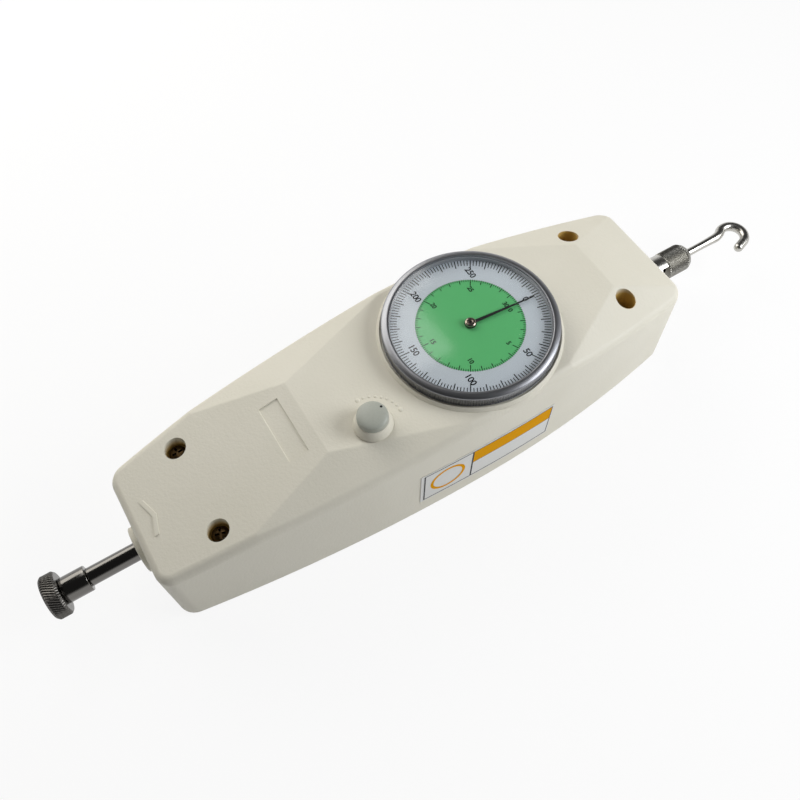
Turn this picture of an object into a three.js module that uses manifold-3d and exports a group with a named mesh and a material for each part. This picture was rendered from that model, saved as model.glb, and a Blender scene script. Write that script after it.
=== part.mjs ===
// Push-pull force gauge with a round dial, a push disc at one end and a pull hook at the other.
// Millimetres. +X points to the hook, +Y to the far side, +Z out of the dial.
// The origin is on the flat back, under the middle of the housing.
import * as THREE from 'three';
import { mergeVertices } from 'three/addons/utils/BufferGeometryUtils.js';
import { ConvexGeometry } from 'three/addons/geometries/ConvexGeometry.js';
import Module from 'manifold-3d';

const wasm = await Module();
wasm.setup();

// Fits and cutting values
const slideGap = 0.15;
const seatGap = 0.1;
const rimGap = 0.3;
const overrun = 2;
const weld = 0.0001;
const roundSides = 20;
const smallSides = 8;
const ringSides = 40;
const hubSides = 16;

// The housing's round opening for the dial, and the raised collar round it
const dialBore = 25.5;
const collarWall = 4.4;
const collarOuterRadius = dialBore + collarWall;
const collarRise = 1.3;
const collarChamfer = 0.9;
const collarMargin = 0.3;

// Housing outline, seen from the front
const widestHalfWidth = collarOuterRadius + collarMargin;
const bodyHalfLength = 96.5;
const pushEndHalfWidth = 21.2;
const pullEndHalfWidth = 21.5;
const widestX = 14;
const endCornerRadius = 6;
const wall = 2.5;
const rimRadius = 3;
const footHeight = 0.5;

// Shaft line
const shaftHeight = 17;
const shaftRadius = 3;
const strokeLength = 10;

// The movement's levels above the shaft, from the lower plate to the upper one
const plateThickness = 1.5;
const lowerPlateRise = 8.5;
const lowerPlateHeight = shaftHeight + lowerPlateRise;
const largeGearRise = 3.5;
const largeGearHeight = lowerPlateHeight + largeGearRise;
const largeGearThickness = 1.5;
const ratchetRise = 1.5;
const ratchetHeight = largeGearHeight + largeGearThickness + ratchetRise;
const ratchetThickness = 1.2;
const upperPlateRise = 1.8;
const upperPlateHeight = ratchetHeight + ratchetThickness + upperPlateRise;

// Housing heights and the folds between its front facets
const frontRoom = 7;
const facetHeight = upperPlateHeight + plateThickness + frontRoom;
const pushEdgeDrop = 11.7;
const pushEdgeHeight = facetHeight - pushEdgeDrop;
const pullEdgeDrop = 7.3;
const pullEdgeHeight = facetHeight - pullEdgeDrop;
const pullCornerDrop = 8.3;
const pullCornerHeight = facetHeight - pullCornerDrop;
const pushFoldReach = 60.5;
const pushFoldX = pushFoldReach - bodyHalfLength;
const pushFoldHalfWidth = 14.1;
const pullFoldReach = 23.4;
const pullFoldX = bodyHalfLength - pullFoldReach;
const pullFoldHalfWidth = 10.4;
const pushRimReach = 25.2;
const pushRimX = pushRimReach - bodyHalfLength;
const wideStartX = 13;
const wideEndX = 37.8;

// Housing details
const wellInset = 22.1;
const wellX = bodyHalfLength - wellInset;
const wellY = 15.6;
const wellRadius = 3.5;
const wellFloorDrop = 0.8;
const wellFloorHeight = pushEdgeHeight - wellFloorDrop;
const wellFloor = 2.5;
const wellTubeRadius = 5.2;
const plateRecessReach = 7.8;
const plateRecessX = pushFoldX - plateRecessReach;
const plateRecessY = 0.6;
const plateRecessLength = 6.8;
const plateRecessWidth = 21;
const plateRecessDepth = 0.4;
const arrowReach = 6.9;
const arrowX = arrowReach - bodyHalfLength;
const arrowLength = 3.4;
const arrowWidth = 12.5;
const arrowStem = 1.5;
const arrowRelief = 0.4;

// Rear cover
const coverThickness = 3;
const postRadius = 4.2;
const postFloor = 8;
const insertReach = 12.5;
const insertX = bodyHalfLength - insertReach;
const insertRadius = 3;
const insertBore = 1.65;
const insertLength = 7;
const insertBossRadius = 5.5;

// Screws
const coverScrewRadius = 1.5;
const coverScrewHead = 2.8;
const coverScrewHeadHeight = 2;
const coverScrewLength = 18;
const crownShare = 0.35;
const crownTopShare = 0.6;
const crossArmShare = 0.62;
const crossWidthShare = 0.14;
const crossDepthShare = 0.5;
const chassisReach = 36.5;
const chassisHalfLength = bodyHalfLength - chassisReach;
const chassisScrewInset = 10;
const chassisScrewX = chassisHalfLength - chassisScrewInset;
const chassisScrewY = 14;
const chassisBossRadius = 4;
const chassisScrewLength = 5.4;
const movementScrewRadius = 1;
const movementScrewHead = 1.9;
const movementScrewHeadHeight = 1.1;
const movementScrewLength = 14;

// Chassis
const chassisHalfWidth = 18;
const chassisBase = 2;
const chassisWall = 2.5;
const chassisLift = 1.5;
const bracketHalfWidth = 12;
const bracketDrop = 0.6;
const bracketHeight = lowerPlateHeight - bracketDrop;
const anchorX = -6.5;
const anchorThickness = 4.5;
const anchorHalfWidth = 11;
const anchorHeight = bracketHeight;

// Guide bushes and nose bushes
const bushRadius = 4.5;
const bushFlangeRadius = 6.5;
const bushFlange = 1.5;
const bushBarrelRadius = 4.9;
const bushBarrel = 4.4;
const noseRadius = 8.5;
const noseLength = 3;
const noseChamfer = 0.8;
const spigotRadius = 6.6;
const spigotLength = 4.5;

// Shaft and what it carries
const studRadius = 2.2;
const pushRodReach = 18.8;
const pushShoulderX = -bodyHalfLength - pushRodReach;
const pushStudLength = 6;
const pullRodReach = 7.5;
const pullShaftEndX = bodyHalfLength + pullRodReach;
const springWireRadius = 1.15;
const springMeanRadius = 6;
const springTurns = 7;
const springSides = 5;
const springSteps = 8;
const restGap = 0.4;
const seatLength = 4;
const seatRadius = 7.6;
const nutAcrossFlats = 11;
const nutLength = 5;
const rackStartX = -5;
const rackEndX = 19;
const rackBackY = -6;
const rackHalfHeight = 5;
const rackScrewRadius = 1.2;
const stopRadius = 6.5;
const stopLength = 3.7;

// Push end
const adapterRadius = 4.25;
const adapterLength = 8.2;
const adapterChamfer = 0.6;
const adapterSpigotRadius = 2;
const adapterSpigotLength = 2.6;
const discRadius = 7.3;
const discLength = 4.8;
const discChamfer = 0.7;

// Hook end
const couplingRadius = 5;
const couplingOverlap = 16;
const couplingStartX = pullShaftEndX - couplingOverlap;
const couplingReach = 8.7;
const couplingEndX = pullShaftEndX + couplingReach;
const couplingFlatLength = 5.7;
const couplingFlatX = couplingEndX - couplingFlatLength;
const couplingFlatReach = 1;
const couplingFlatDeg = 26;
const pullStudLength = 3;
const hookNutRadius = 4.8;
const hookNutBarrel = 6.2;
const hookNutLength = 10.8;
const hookNutChamfer = 0.5;
const hookWireRadius = 1.4;
const hookHeadRadius = 2.1;
const hookHeadLength = 2;
const hookShankReach = 23;
const hookStraightX = couplingEndX + hookShankReach;
const hookBendRadius = 8;
const hookBendDeg = 30;
const hookLeadLength = 0.8;
const hookLoopRadius = 4.7;
const hookLoopDeg = 234;
const hookSides = 10;
const hookSteps = 40;

// Gear train
const gearModule = 0.5;
const pressureDeg = 20;
const backlash = 0.12;
const rackPinionTeeth = 20;
const largeGearTeeth = 44;
const pointerPinionTeeth = 14;
const addendumShare = 0.8;
const dedendumShare = 1.1;
const rackPitchY = 4;
const dialX = 23.4;
const rackPinionHeight = 6;
const pinionOverlap = 0.8;
const pointerPinionHeight = largeGearHeight - pinionOverlap;
const pointerPinionThickness = largeGearThickness + 2 * pinionOverlap;
const arborRadius = 1;
const arborBushRadius = 2.6;
const arborBushHeight = 3.2;
const largeGearBore = 1.8;
const hubRadius = 2.8;
const ratchetRadius = 7;
const ratchetTeeth = 36;
const ratchetDepth = 0.5;

// Movement plates and posts
const plateStartX = -26;
const upperPlateStartX = -17;
const plateCorner = 4;
const postInset = 10;
const postX = chassisScrewX - postInset;
const postY = 15;
const plateMargin = 4.5;
const plateEndX = postX + plateMargin;
const plateHalfWidth = postY + plateMargin;
const rearPostX = -13;
const rearPostY = 16;
const movementPostRadius = 2.6;
const movementPostNeck = 1.9;
const pivotRadius = 0.85;
const collarRadius = 1.6;

// Hairspring
const hairspringInner = 2.2;
const hairspringOuter = 5.8;
const hairspringTurns = 4;
const hairspringWidth = 0.25;
const hairspringHeight = 0.6;

// Dial, bezel and pointer
const carrierRadius = dialBore - rimGap;
const carrierWall = 1.8;
const carrierBore = carrierRadius - carrierWall;
const dialFaceRise = 3.3;
const dialFaceHeight = facetHeight + dialFaceRise;
const dialFaceThickness = 0.7;
const dialFaceBore = 1.5;
const bezelStep = 0.5;
const bezelBore = carrierRadius + bezelStep;
const bezelWall = 2.7;
const bezelRadius = bezelBore + bezelWall;
const dialFaceRadius = bezelBore - 2 * seatGap;
const bezelRise = 6.8;
const bezelTop = facetHeight + bezelRise;
const bezelChamfer = 1.3;
const bezelRimWidth = 1.9;
const bezelLip = 0.5;
const bezelLipWidth = 0.4;
const crystalThickness = 0.9;
const spacerWall = 0.8;
const bezelGap = 1;
const carrierDrop = 3.9;
const carrierBottom = facetHeight - carrierDrop;
const grooveDepth = 0.6;
const grooveWidth = 0.8;
const grooveRise = 0.45;
const grooveBottom = carrierBottom + grooveRise;
const snapThickness = 0.5;
const snapReach = 1.1;
const snapRadius = dialBore + snapReach;
const snapSlotDeg = 24;
const pointerRise = 0.4;
const pointerHeight = dialFaceHeight + pointerRise;
const pointerThickness = 0.3;
const pointerMargin = 2.2;
const pointerLength = dialFaceRadius - pointerMargin;
const pointerHubRadius = 2.4;
const pointerHalfRoot = 0.55;
const pointerHalfTip = 0.2;
const pointerCapRadius = 1.8;
const pointerCapHeight = 0.8;
const dialTurnDeg = -5;

// Selector knob, cam and pawl
const knobX = -20;
const knobY = -13;
const knobBaseRadius = 6.6;
const knobTopRadius = 5.2;
const knobConeRise = 3.5;
const knobConeTop = facetHeight + knobConeRise;
const knobCapRadius = 5;
const knobCapRise = 3.2;
const knobCapTop = knobConeTop + knobCapRise;
const knobCapDome = 1.1;
const knobCapSide = knobCapTop - knobCapDome;
const knobBoreDepth = 1.6;
const knobBoreTop = knobConeTop + knobBoreDepth;
const dotRadius = 0.5;
const dotReach = 3.6;
const dotDepth = 0.6;
const selectorRadius = 2;
const selectorBossRadius = 4.5;
const selectorBossDrop = 5.5;
const selectorBossBottom = facetHeight - selectorBossDrop;
const clipRadius = 4;
const clipThickness = 0.6;
const clipGroove = 0.4;
const clipSlotHalfWidth = 1;
const camRadius = 3;
const camLobeRadius = 1.6;
const camLobeReach = 3;
const selectorPivotRadius = 1.2;
const pawlPivotX = 3;
const pawlPivotY = -5;
const pawlHalfWidth = 1;
const pawlPadRadius = 1.2;
const pawlPadY = 4.4;
const pawlClearance = 1.1;
const pawlNose = 1.6;
const pawlEyeRadius = 2.6;
const pawlPivotRadius = 1.2;
const pawlShoulderRadius = 2;
const pawlHeadRadius = 2.2;
const pawlHeadHeight = 0.6;
const pawlSpringWall = 0.5;
const pawlSpringHeight = 0.6;
const pawlSpringLeg = 9;

// Side label
const labelStartX = -12.3;
const labelEndX = 37.6;
const labelBottom = 8.3;
const labelTop = 26.3;
const labelThickness = 0.2;

// Colours
const ivory = 0xe2ddcd;
const ivoryDark = 0xcfc8b4;
const knobGrey = 0xa3a69c;
const steel = 0xb4b4b0;
const darkSteel = 0x4a4743;
const brass = 0xb08d4a;
const aluminium = 0xa9adb0;
const black = 0x151515;

function radians(degrees) {
  return degrees * Math.PI / 180;
}

// Solids

// A closed geometry becomes a solid whose faces point out.
function solidOf(geometry) {
  const bare = geometry.clone();
  bare.deleteAttribute('normal');
  bare.deleteAttribute('uv');
  const merged = mergeVertices(bare, weld);
  const places = merged.attributes.position.array;
  const triangles = Uint32Array.from(merged.index.array);
  if (signedVolume(places, triangles) < 0) {
    triangles.reverse();
  }
  return new wasm.Manifold(new wasm.Mesh({ numProp: 3, vertProperties: places, triVerts: triangles }));
}

function signedVolume(places, triangles) {
  const [a, b, c] = [new THREE.Vector3(), new THREE.Vector3(), new THREE.Vector3()];
  let sum = 0;
  for (let corner = 0; corner < triangles.length; corner += 3) {
    a.fromArray(places, triangles[corner] * 3);
    b.fromArray(places, triangles[corner + 1] * 3);
    c.fromArray(places, triangles[corner + 2] * 3);
    sum += a.dot(b.cross(c));
  }
  return sum;
}

function sheet(color, roughness, metalness) {
  return new THREE.MeshStandardMaterial({ color, roughness, metalness });
}

function piece(name, solid, color, roughness = 0.5, metalness = 0) {
  const cut = solid.getMesh();
  const geometry = new THREE.BufferGeometry();
  geometry.setAttribute('position', new THREE.BufferAttribute(cut.vertProperties, 3));
  geometry.setIndex(new THREE.BufferAttribute(cut.triVerts, 1));
  const flat = geometry.toNonIndexed();
  flat.computeVertexNormals();
  const mesh = new THREE.Mesh(flat, sheet(color, roughness, metalness));
  mesh.name = name;
  return mesh;
}

function box(x0, x1, y0, y1, z0, z1) {
  const geometry = new THREE.BoxGeometry(x1 - x0, y1 - y0, z1 - z0);
  geometry.translate((x0 + x1) / 2, (y0 + y1) / 2, (z0 + z1) / 2);
  return solidOf(geometry);
}

function prism(shape, bottom, top, sides = roundSides) {
  const settings = { depth: top - bottom, bevelEnabled: false, curveSegments: sides / 2 };
  const geometry = new THREE.ExtrudeGeometry(shape, settings);
  geometry.translate(0, 0, bottom);
  return solidOf(geometry);
}

// A profile of [place along the axis, radius] pairs, turned about the Z axis.
function turned(profile, sides = roundSides) {
  const points = profile.map(([along, radius]) => new THREE.Vector2(radius, along));
  const geometry = new THREE.LatheGeometry(points, sides);
  geometry.rotateX(Math.PI / 2);
  return solidOf(geometry);
}

// The same profile turned about the X axis.
function turnedOnX(profile, sides = roundSides) {
  const points = profile.map(([along, radius]) => new THREE.Vector2(radius, along));
  const geometry = new THREE.LatheGeometry(points, sides);
  geometry.rotateZ(-Math.PI / 2);
  return solidOf(geometry);
}

function disc(radius, bottom, top, sides = roundSides) {
  return turned([[bottom, 0], [bottom, radius], [top, radius], [top, 0]], sides);
}

function ring(bore, radius, bottom, top, sides = roundSides) {
  return turned([[bottom, bore], [bottom, radius], [top, radius], [top, bore], [bottom, bore]], sides);
}

function discOnX(radius, start, end, sides = roundSides) {
  return turnedOnX([[start, 0], [start, radius], [end, radius], [end, 0]], sides);
}

function ringOnX(bore, radius, start, end, sides = roundSides) {
  return turnedOnX([[start, bore], [start, radius], [end, radius], [end, bore], [start, bore]], sides);
}

function at(solid, x, y, z = 0) {
  return solid.translate([x, y, z]);
}

function roundedPlate(x0, x1, y0, y1, radius) {
  const shape = new THREE.Shape();
  shape.absarc(x1 - radius, y1 - radius, radius, 0, Math.PI / 2);
  shape.absarc(x0 + radius, y1 - radius, radius, Math.PI / 2, Math.PI);
  shape.absarc(x0 + radius, y0 + radius, radius, Math.PI, 3 * Math.PI / 2);
  shape.absarc(x1 - radius, y0 + radius, radius, 3 * Math.PI / 2, 2 * Math.PI);
  shape.closePath();
  return shape;
}

function polygon(points) {
  return new THREE.Shape(points.map(([x, y]) => new THREE.Vector2(x, y)));
}

function circlePoints(radius, sides) {
  const points = [];
  for (let side = 0; side < sides; side += 1) {
    const angle = 2 * Math.PI * side / sides;
    points.push([radius * Math.cos(angle), radius * Math.sin(angle)]);
  }
  return points;
}

// Housing

// Half of the housing's width at a place along its length. Both sides are shallow arcs.
function halfWidth(x) {
  const endX = x < widestX ? -bodyHalfLength : bodyHalfLength;
  const endHalfWidth = x < widestX ? pushEndHalfWidth : pullEndHalfWidth;
  const share = (x - widestX) / (endX - widestX);
  return widestHalfWidth - (widestHalfWidth - endHalfWidth) * share * share;
}

function sideSlope(x) {
  const step = weld * bodyHalfLength;
  return (halfWidth(x + step) - halfWidth(x - step)) / (2 * step);
}

// The round corner between an end and the far side, from the end to the side.
function cornerArc(end, inset) {
  const radius = endCornerRadius - inset;
  const sideTurn = Math.atan(sideSlope(end * (bodyHalfLength - endCornerRadius)));
  const first = end > 0 ? 0 : Math.PI;
  const last = Math.PI / 2 + sideTurn;
  const centreX = end * (bodyHalfLength - endCornerRadius);
  const touchX = centreX + endCornerRadius * Math.cos(last);
  const centreY = halfWidth(touchX) - endCornerRadius * Math.sin(last);
  const steps = 4;
  const arc = [];
  for (let step = 0; step <= steps; step += 1) {
    const angle = first + (last - first) * step / steps;
    arc.push([centreX + radius * Math.cos(angle), centreY + radius * Math.sin(angle)]);
  }
  return arc;
}

// Places along the side where the wall has a corner of its faceted arc.
const sideShares = [0.35, 0.68];
function sideStations() {
  const knots = [pushRimX, pushFoldX, wideStartX, wideEndX, pullFoldX];
  const stations = [];
  knots.forEach((knot, index) => {
    stations.push(knot);
    if (index < knots.length - 1) {
      sideShares.forEach((share) => stations.push(knot + (knots[index + 1] - knot) * share));
    }
  });
  return stations;
}

function outline(inset) {
  const side = sideStations().map((x) => [x, halfWidth(x) - inset]);
  const far = [...cornerArc(-1, inset), ...side, ...cornerArc(1, inset).reverse()];
  const near = far.map(([x, y]) => [x, -y]).reverse();
  return [...far, ...near];
}

function planeThrough(a, b, c) {
  const plane = new THREE.Plane();
  plane.setFromCoplanarPoints(new THREE.Vector3(...a), new THREE.Vector3(...b), new THREE.Vector3(...c));
  return plane;
}

function heightOn(plane, x, y) {
  return -(plane.constant + plane.normal.x * x + plane.normal.y * y) / plane.normal.z;
}

const pushSlope = (facetHeight - pushEdgeHeight) / (pushFoldX + bodyHalfLength);
const pullSlope = (facetHeight - pullEdgeHeight) / (bodyHalfLength - pullFoldX);

function pushFacetHeight(x) {
  return facetHeight + pushSlope * (x - pushFoldX);
}

function pullFacetHeight(x) {
  return facetHeight - pullSlope * (x - pullFoldX);
}

const pushBevel = planeThrough(
  [pushFoldX, pushFoldHalfWidth, facetHeight],
  [pushRimX, halfWidth(pushRimX), pushFacetHeight(pushRimX)],
  [wideStartX, halfWidth(wideStartX), facetHeight],
);
const pullBevel = planeThrough(
  [pullFoldX, pullFoldHalfWidth, facetHeight],
  [wideEndX, halfWidth(wideEndX), facetHeight],
  [bodyHalfLength, pullEndHalfWidth, pullCornerHeight],
);

// Height of the housing's front at a place: the lowest of its facets.
function frontHeight(x, y) {
  const side = Math.abs(y);
  return Math.min(
    facetHeight,
    pushFacetHeight(x),
    pullFacetHeight(x),
    heightOn(pushBevel, x, side),
    heightOn(pullBevel, x, side),
  );
}

// A convex body with the facets on top, its walls set in and its top lowered.
function facetedBody(inset, drop, bottom, edgeRadius) {
  const points = outline(inset).map(([x, y]) => new THREE.Vector3(x, y, bottom));
  const edgeSteps = edgeRadius > 0 ? 3 : 0;
  for (let step = 0; step <= edgeSteps; step += 1) {
    const angle = edgeSteps > 0 ? step / edgeSteps * Math.PI / 2 : 0;
    const edgeInset = inset + edgeRadius * (1 - Math.cos(angle));
    const edgeDrop = drop + edgeRadius * (1 - Math.sin(angle));
    outline(edgeInset).forEach(([x, y]) => {
      points.push(new THREE.Vector3(x, y, frontHeight(x, y) - edgeDrop));
    });
  }
  [-1, 1].forEach((side) => {
    points.push(new THREE.Vector3(pushFoldX, side * pushFoldHalfWidth, facetHeight - drop));
    points.push(new THREE.Vector3(pullFoldX, side * pullFoldHalfWidth, facetHeight - drop));
  });
  return solidOf(new ConvexGeometry(points));
}

// A shape drawn on the sloping push facet, standing up from it.
function onPushFacet(shape, x, y, bottom, top) {
  const geometry = new THREE.ExtrudeGeometry(shape, { depth: top - bottom, bevelEnabled: false });
  geometry.translate(0, 0, bottom);
  geometry.rotateY(-Math.atan(pushSlope));
  geometry.translate(x, y, pushFacetHeight(x));
  return solidOf(geometry);
}

function plateRecess() {
  const halfLength = plateRecessLength / 2;
  const halfSpan = plateRecessWidth / 2;
  const corners = [
    [-halfLength, -halfSpan],
    [halfLength, -halfSpan],
    [halfLength, halfSpan],
    [-halfLength, halfSpan],
  ];
  return onPushFacet(polygon(corners), plateRecessX, plateRecessY, -plateRecessDepth, overrun);
}

// A plain double arrow head, which shows the way to push.
function pushArrow() {
  const tip = arrowLength / 2;
  const half = arrowWidth / 2;
  const points = [
    [-tip, -half],
    [arrowStem - tip, -half],
    [tip, 0],
    [arrowStem - tip, half],
    [-tip, half],
    [tip - arrowStem, 0],
  ];
  return onPushFacet(polygon(points), arrowX, 0, -arrowRelief, arrowRelief);
}

const wellPlaces = [[-wellX, wellY], [-wellX, -wellY], [wellX, wellY], [wellX, -wellY]];

function frontHousing() {
  const outer = facetedBody(0, 0, footHeight, rimRadius);
  let shell = outer.subtract(facetedBody(wall, wall, footHeight - overrun, 0));
  const tubeBottom = wellFloorHeight - wellFloor;
  wellPlaces.forEach(([x, y]) => {
    shell = shell.add(at(disc(wellTubeRadius, tubeBottom, facetHeight), x, y).intersect(outer));
    shell = shell.subtract(at(disc(wellRadius, wellFloorHeight, facetHeight + overrun), x, y));
    shell = shell.subtract(at(disc(coverScrewRadius + slideGap, tubeBottom - overrun, facetHeight), x, y));
  });
  const top = facetHeight + collarRise;
  const collar = turned([
    [facetHeight - wall, 0],
    [facetHeight - wall, collarOuterRadius - collarChamfer],
    [facetHeight - collarChamfer, collarOuterRadius],
    [top - collarChamfer, collarOuterRadius],
    [top, collarOuterRadius - collarChamfer],
    [top, 0],
  ], ringSides);
  shell = shell.add(at(collar, dialX, 0));
  const dialHole = disc(dialBore, facetHeight - wall - overrun, top + overrun, ringSides);
  shell = shell.subtract(at(dialHole, dialX, 0));
  shell = shell.add(at(disc(selectorBossRadius, selectorBossBottom, facetHeight - wall / 2), knobX, knobY));
  const selectorHole = disc(selectorRadius + slideGap, selectorBossBottom - overrun, facetHeight + overrun);
  shell = shell.subtract(at(selectorHole, knobX, knobY));
  const through = spigotRadius + slideGap;
  const reach = bodyHalfLength + overrun;
  shell = shell.subtract(at(discOnX(through, -reach, reach), 0, 0, shaftHeight));
  return shell.subtract(plateRecess()).add(pushArrow());
}

function rearCover() {
  let cover = prism(polygon(outline(wall + rimGap)), 0, coverThickness);
  const postTop = wellFloorHeight - wellFloor - seatGap;
  const bore = coverScrewRadius + slideGap;
  wellPlaces.forEach(([x, y]) => {
    cover = cover.add(at(disc(postRadius, coverThickness / 2, postTop), x, y));
    cover = cover.subtract(at(disc(bore, postFloor, postTop + overrun, smallSides), x, y));
  });
  chassisScrewPlaces.forEach(([x, y]) => {
    cover = cover.add(at(disc(chassisBossRadius, coverThickness / 2, chassisBottom - seatGap), x, y));
    cover = cover.subtract(at(disc(bore, chassisBoreBottom, chassisBottom, smallSides), x, y));
  });
  [-1, 1].forEach((end) => {
    const boss = disc(insertBossRadius, coverThickness / 2, insertLength + coverThickness / 2);
    const hole = disc(insertRadius + slideGap, -overrun, insertLength + seatGap);
    cover = cover.add(at(boss, end * insertX, 0)).subtract(at(hole, end * insertX, 0));
  });
  return cover;
}

// Screws, each drawn with the underside of its head at zero

function headedScrew(radius, headRadius, headHeight, length, sides = smallSides) {
  const crown = headHeight * crownShare;
  return turned([
    [-length, 0],
    [-length, radius],
    [0, radius],
    [0, headRadius],
    [headHeight - crown, headRadius],
    [headHeight, headRadius * crownTopShare],
    [headHeight, 0],
  ], sides);
}

function crossedScrew(radius, headRadius, headHeight, length) {
  const screw = headedScrew(radius, headRadius, headHeight, length, hubSides);
  const arm = headRadius * crossArmShare;
  const half = headRadius * crossWidthShare;
  const floor = headHeight * (1 - crossDepthShare);
  return screw
    .subtract(box(-arm, arm, -half, half, floor, headHeight + overrun))
    .subtract(box(-half, half, -arm, arm, floor, headHeight + overrun));
}

// Chassis

const chassisBottom = coverThickness + chassisLift;
const chassisTop = chassisBottom + chassisBase;
const chassisBoreBottom = chassisTop - chassisScrewLength - seatGap;
const chassisScrewPlaces = [
  [-chassisScrewX, chassisScrewY],
  [-chassisScrewX, -chassisScrewY],
  [chassisScrewX, chassisScrewY],
  [chassisScrewX, -chassisScrewY],
];

function chassis() {
  const inner = chassisHalfLength - chassisWall;
  const reach = chassisHalfLength;
  let frame = box(-reach, reach, -chassisHalfWidth, chassisHalfWidth, chassisBottom, chassisTop);
  frame = frame.add(box(-reach, -inner, -bracketHalfWidth, bracketHalfWidth, chassisBottom, bracketHeight));
  frame = frame.add(box(inner, reach, -bracketHalfWidth, bracketHalfWidth, chassisBottom, bracketHeight));
  const anchorStart = anchorX - anchorThickness;
  const anchor = box(anchorStart, anchorX, -anchorHalfWidth, anchorHalfWidth, chassisBottom, anchorHeight);
  frame = frame.add(anchor);
  const bushHole = bushRadius + slideGap;
  const past = overrun + chassisHalfLength;
  frame = frame.subtract(at(discOnX(bushHole, -past, -inner + overrun), 0, 0, shaftHeight));
  frame = frame.subtract(at(discOnX(bushHole, inner - overrun, past), 0, 0, shaftHeight));
  const clear = discOnX(shaftRadius + rimGap, anchorStart - overrun, anchorX + overrun);
  frame = frame.subtract(at(clear, 0, 0, shaftHeight));
  const below = chassisBottom - overrun;
  const above = chassisTop + overrun;
  const screwHole = disc(coverScrewRadius + slideGap, below, above, smallSides);
  chassisScrewPlaces.forEach(([x, y]) => {
    frame = frame.subtract(at(screwHole, x, y));
  });
  const bushSeat = disc(arborBushRadius + slideGap, below, above, smallSides);
  return frame.subtract(at(bushSeat, arborX, arborY));
}

// Bushes, drawn for the pull end with the face that they seat on at zero

function guideBush() {
  const bore = shaftRadius + slideGap;
  const barrelEnd = bushFlange + bushBarrel;
  return turnedOnX([
    [-chassisWall, bore],
    [-chassisWall, bushRadius],
    [seatGap, bushRadius],
    [seatGap, bushFlangeRadius],
    [bushFlange, bushFlangeRadius],
    [bushFlange, bushBarrelRadius],
    [barrelEnd, bushBarrelRadius],
    [barrelEnd, bore],
    [-chassisWall, bore],
  ]);
}

function noseBush(bore) {
  return turnedOnX([
    [-spigotLength, bore],
    [-spigotLength, spigotRadius],
    [seatGap, spigotRadius],
    [seatGap, noseRadius],
    [noseLength - noseChamfer, noseRadius],
    [noseLength, noseRadius - noseChamfer],
    [noseLength, bore],
    [-spigotLength, bore],
  ]);
}

// Shaft line, drawn about its own axis

function mainShaft() {
  return turnedOnX([
    [pushShoulderX - pushStudLength, 0],
    [pushShoulderX - pushStudLength, studRadius],
    [pushShoulderX, studRadius],
    [pushShoulderX, shaftRadius],
    [pullShaftEndX, shaftRadius],
    [pullShaftEndX, 0],
  ]);
}

const shaftBore = shaftRadius + slideGap;

// At rest the preload nut stands on the push bracket, and the spring's seat stands on the nut.
const preloadNutEndX = chassisWall - chassisHalfLength + restGap + nutLength;
const springEndX = preloadNutEndX + seatGap + seatLength;

function preloadNut() {
  const corner = nutAcrossFlats / Math.sqrt(3);
  const end = preloadNutEndX;
  const hexagon = discOnX(corner, end - nutLength, end, 6);
  return hexagon.subtract(discOnX(shaftBore, end - nutLength - overrun, end + overrun));
}

function springSeat() {
  return ringOnX(shaftBore, seatRadius, springEndX - seatLength, springEndX - seatGap);
}

class SpringPath extends THREE.Curve {
  getPoint(share, target = new THREE.Vector3()) {
    const angle = share * springTurns * 2 * Math.PI;
    const start = springEndX + springWireRadius;
    const end = anchorX - anchorThickness - seatGap - springWireRadius;
    const along = start + (end - start) * share;
    return target.set(along, springMeanRadius * Math.cos(angle), springMeanRadius * Math.sin(angle));
  }
}

function mainSpring() {
  const section = polygon(circlePoints(springWireRadius, springSides));
  const settings = { steps: springTurns * springSteps, extrudePath: new SpringPath(), bevelEnabled: false };
  return solidOf(new THREE.ExtrudeGeometry(section, settings));
}

function rackBlock() {
  const pitch = Math.PI * gearModule;
  const rise = addendumShare * gearModule;
  const fall = dedendumShare * gearModule;
  const halfTooth = pitch / 4 - backlash / 2;
  const lean = Math.tan(radians(pressureDeg));
  const root = rackPitchY - fall;
  const tip = rackPitchY + rise;
  const points = [
    [rackEndX, root],
    [rackEndX, rackBackY],
    [rackStartX, rackBackY],
    [rackStartX, root],
  ];
  const first = Math.ceil((rackStartX - arborX) / pitch);
  const last = Math.floor((rackEndX - arborX) / pitch) - 1;
  for (let tooth = first; tooth <= last; tooth += 1) {
    const middle = arborX + (tooth + 0.5) * pitch;
    points.push([middle - halfTooth - fall * lean, root]);
    points.push([middle - halfTooth + rise * lean, tip]);
    points.push([middle + halfTooth - rise * lean, tip]);
    points.push([middle + halfTooth + fall * lean, root]);
  }
  const block = prism(polygon(points), -rackHalfHeight, rackHalfHeight);
  const bore = discOnX(shaftBore, rackStartX - overrun, rackEndX + overrun);
  const screwHole = disc(rackScrewRadius + slideGap, 0, -rackBackY + overrun, smallSides).rotate([90, 0, 0]);
  return block.subtract(bore).subtract(at(screwHole, rackMiddleX, 0));
}

const rackMiddleX = (rackStartX + rackEndX) / 2;

function rackSetScrew() {
  const length = -rackBackY - shaftRadius - seatGap;
  const slotHalf = rackScrewRadius / 4;
  const screw = disc(rackScrewRadius, 0, length, smallSides);
  const reach = rackScrewRadius + overrun;
  const slot = box(-reach, reach, -slotHalf, slotHalf, length - rackScrewRadius / 2, length + overrun);
  return screw.subtract(slot);
}

function stopCollar() {
  const end = chassisHalfLength - chassisWall - strokeLength - rimGap;
  return ringOnX(shaftBore, stopRadius, end - stopLength, end);
}

// Push end

const adapterStart = pushShoulderX - adapterLength;

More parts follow.
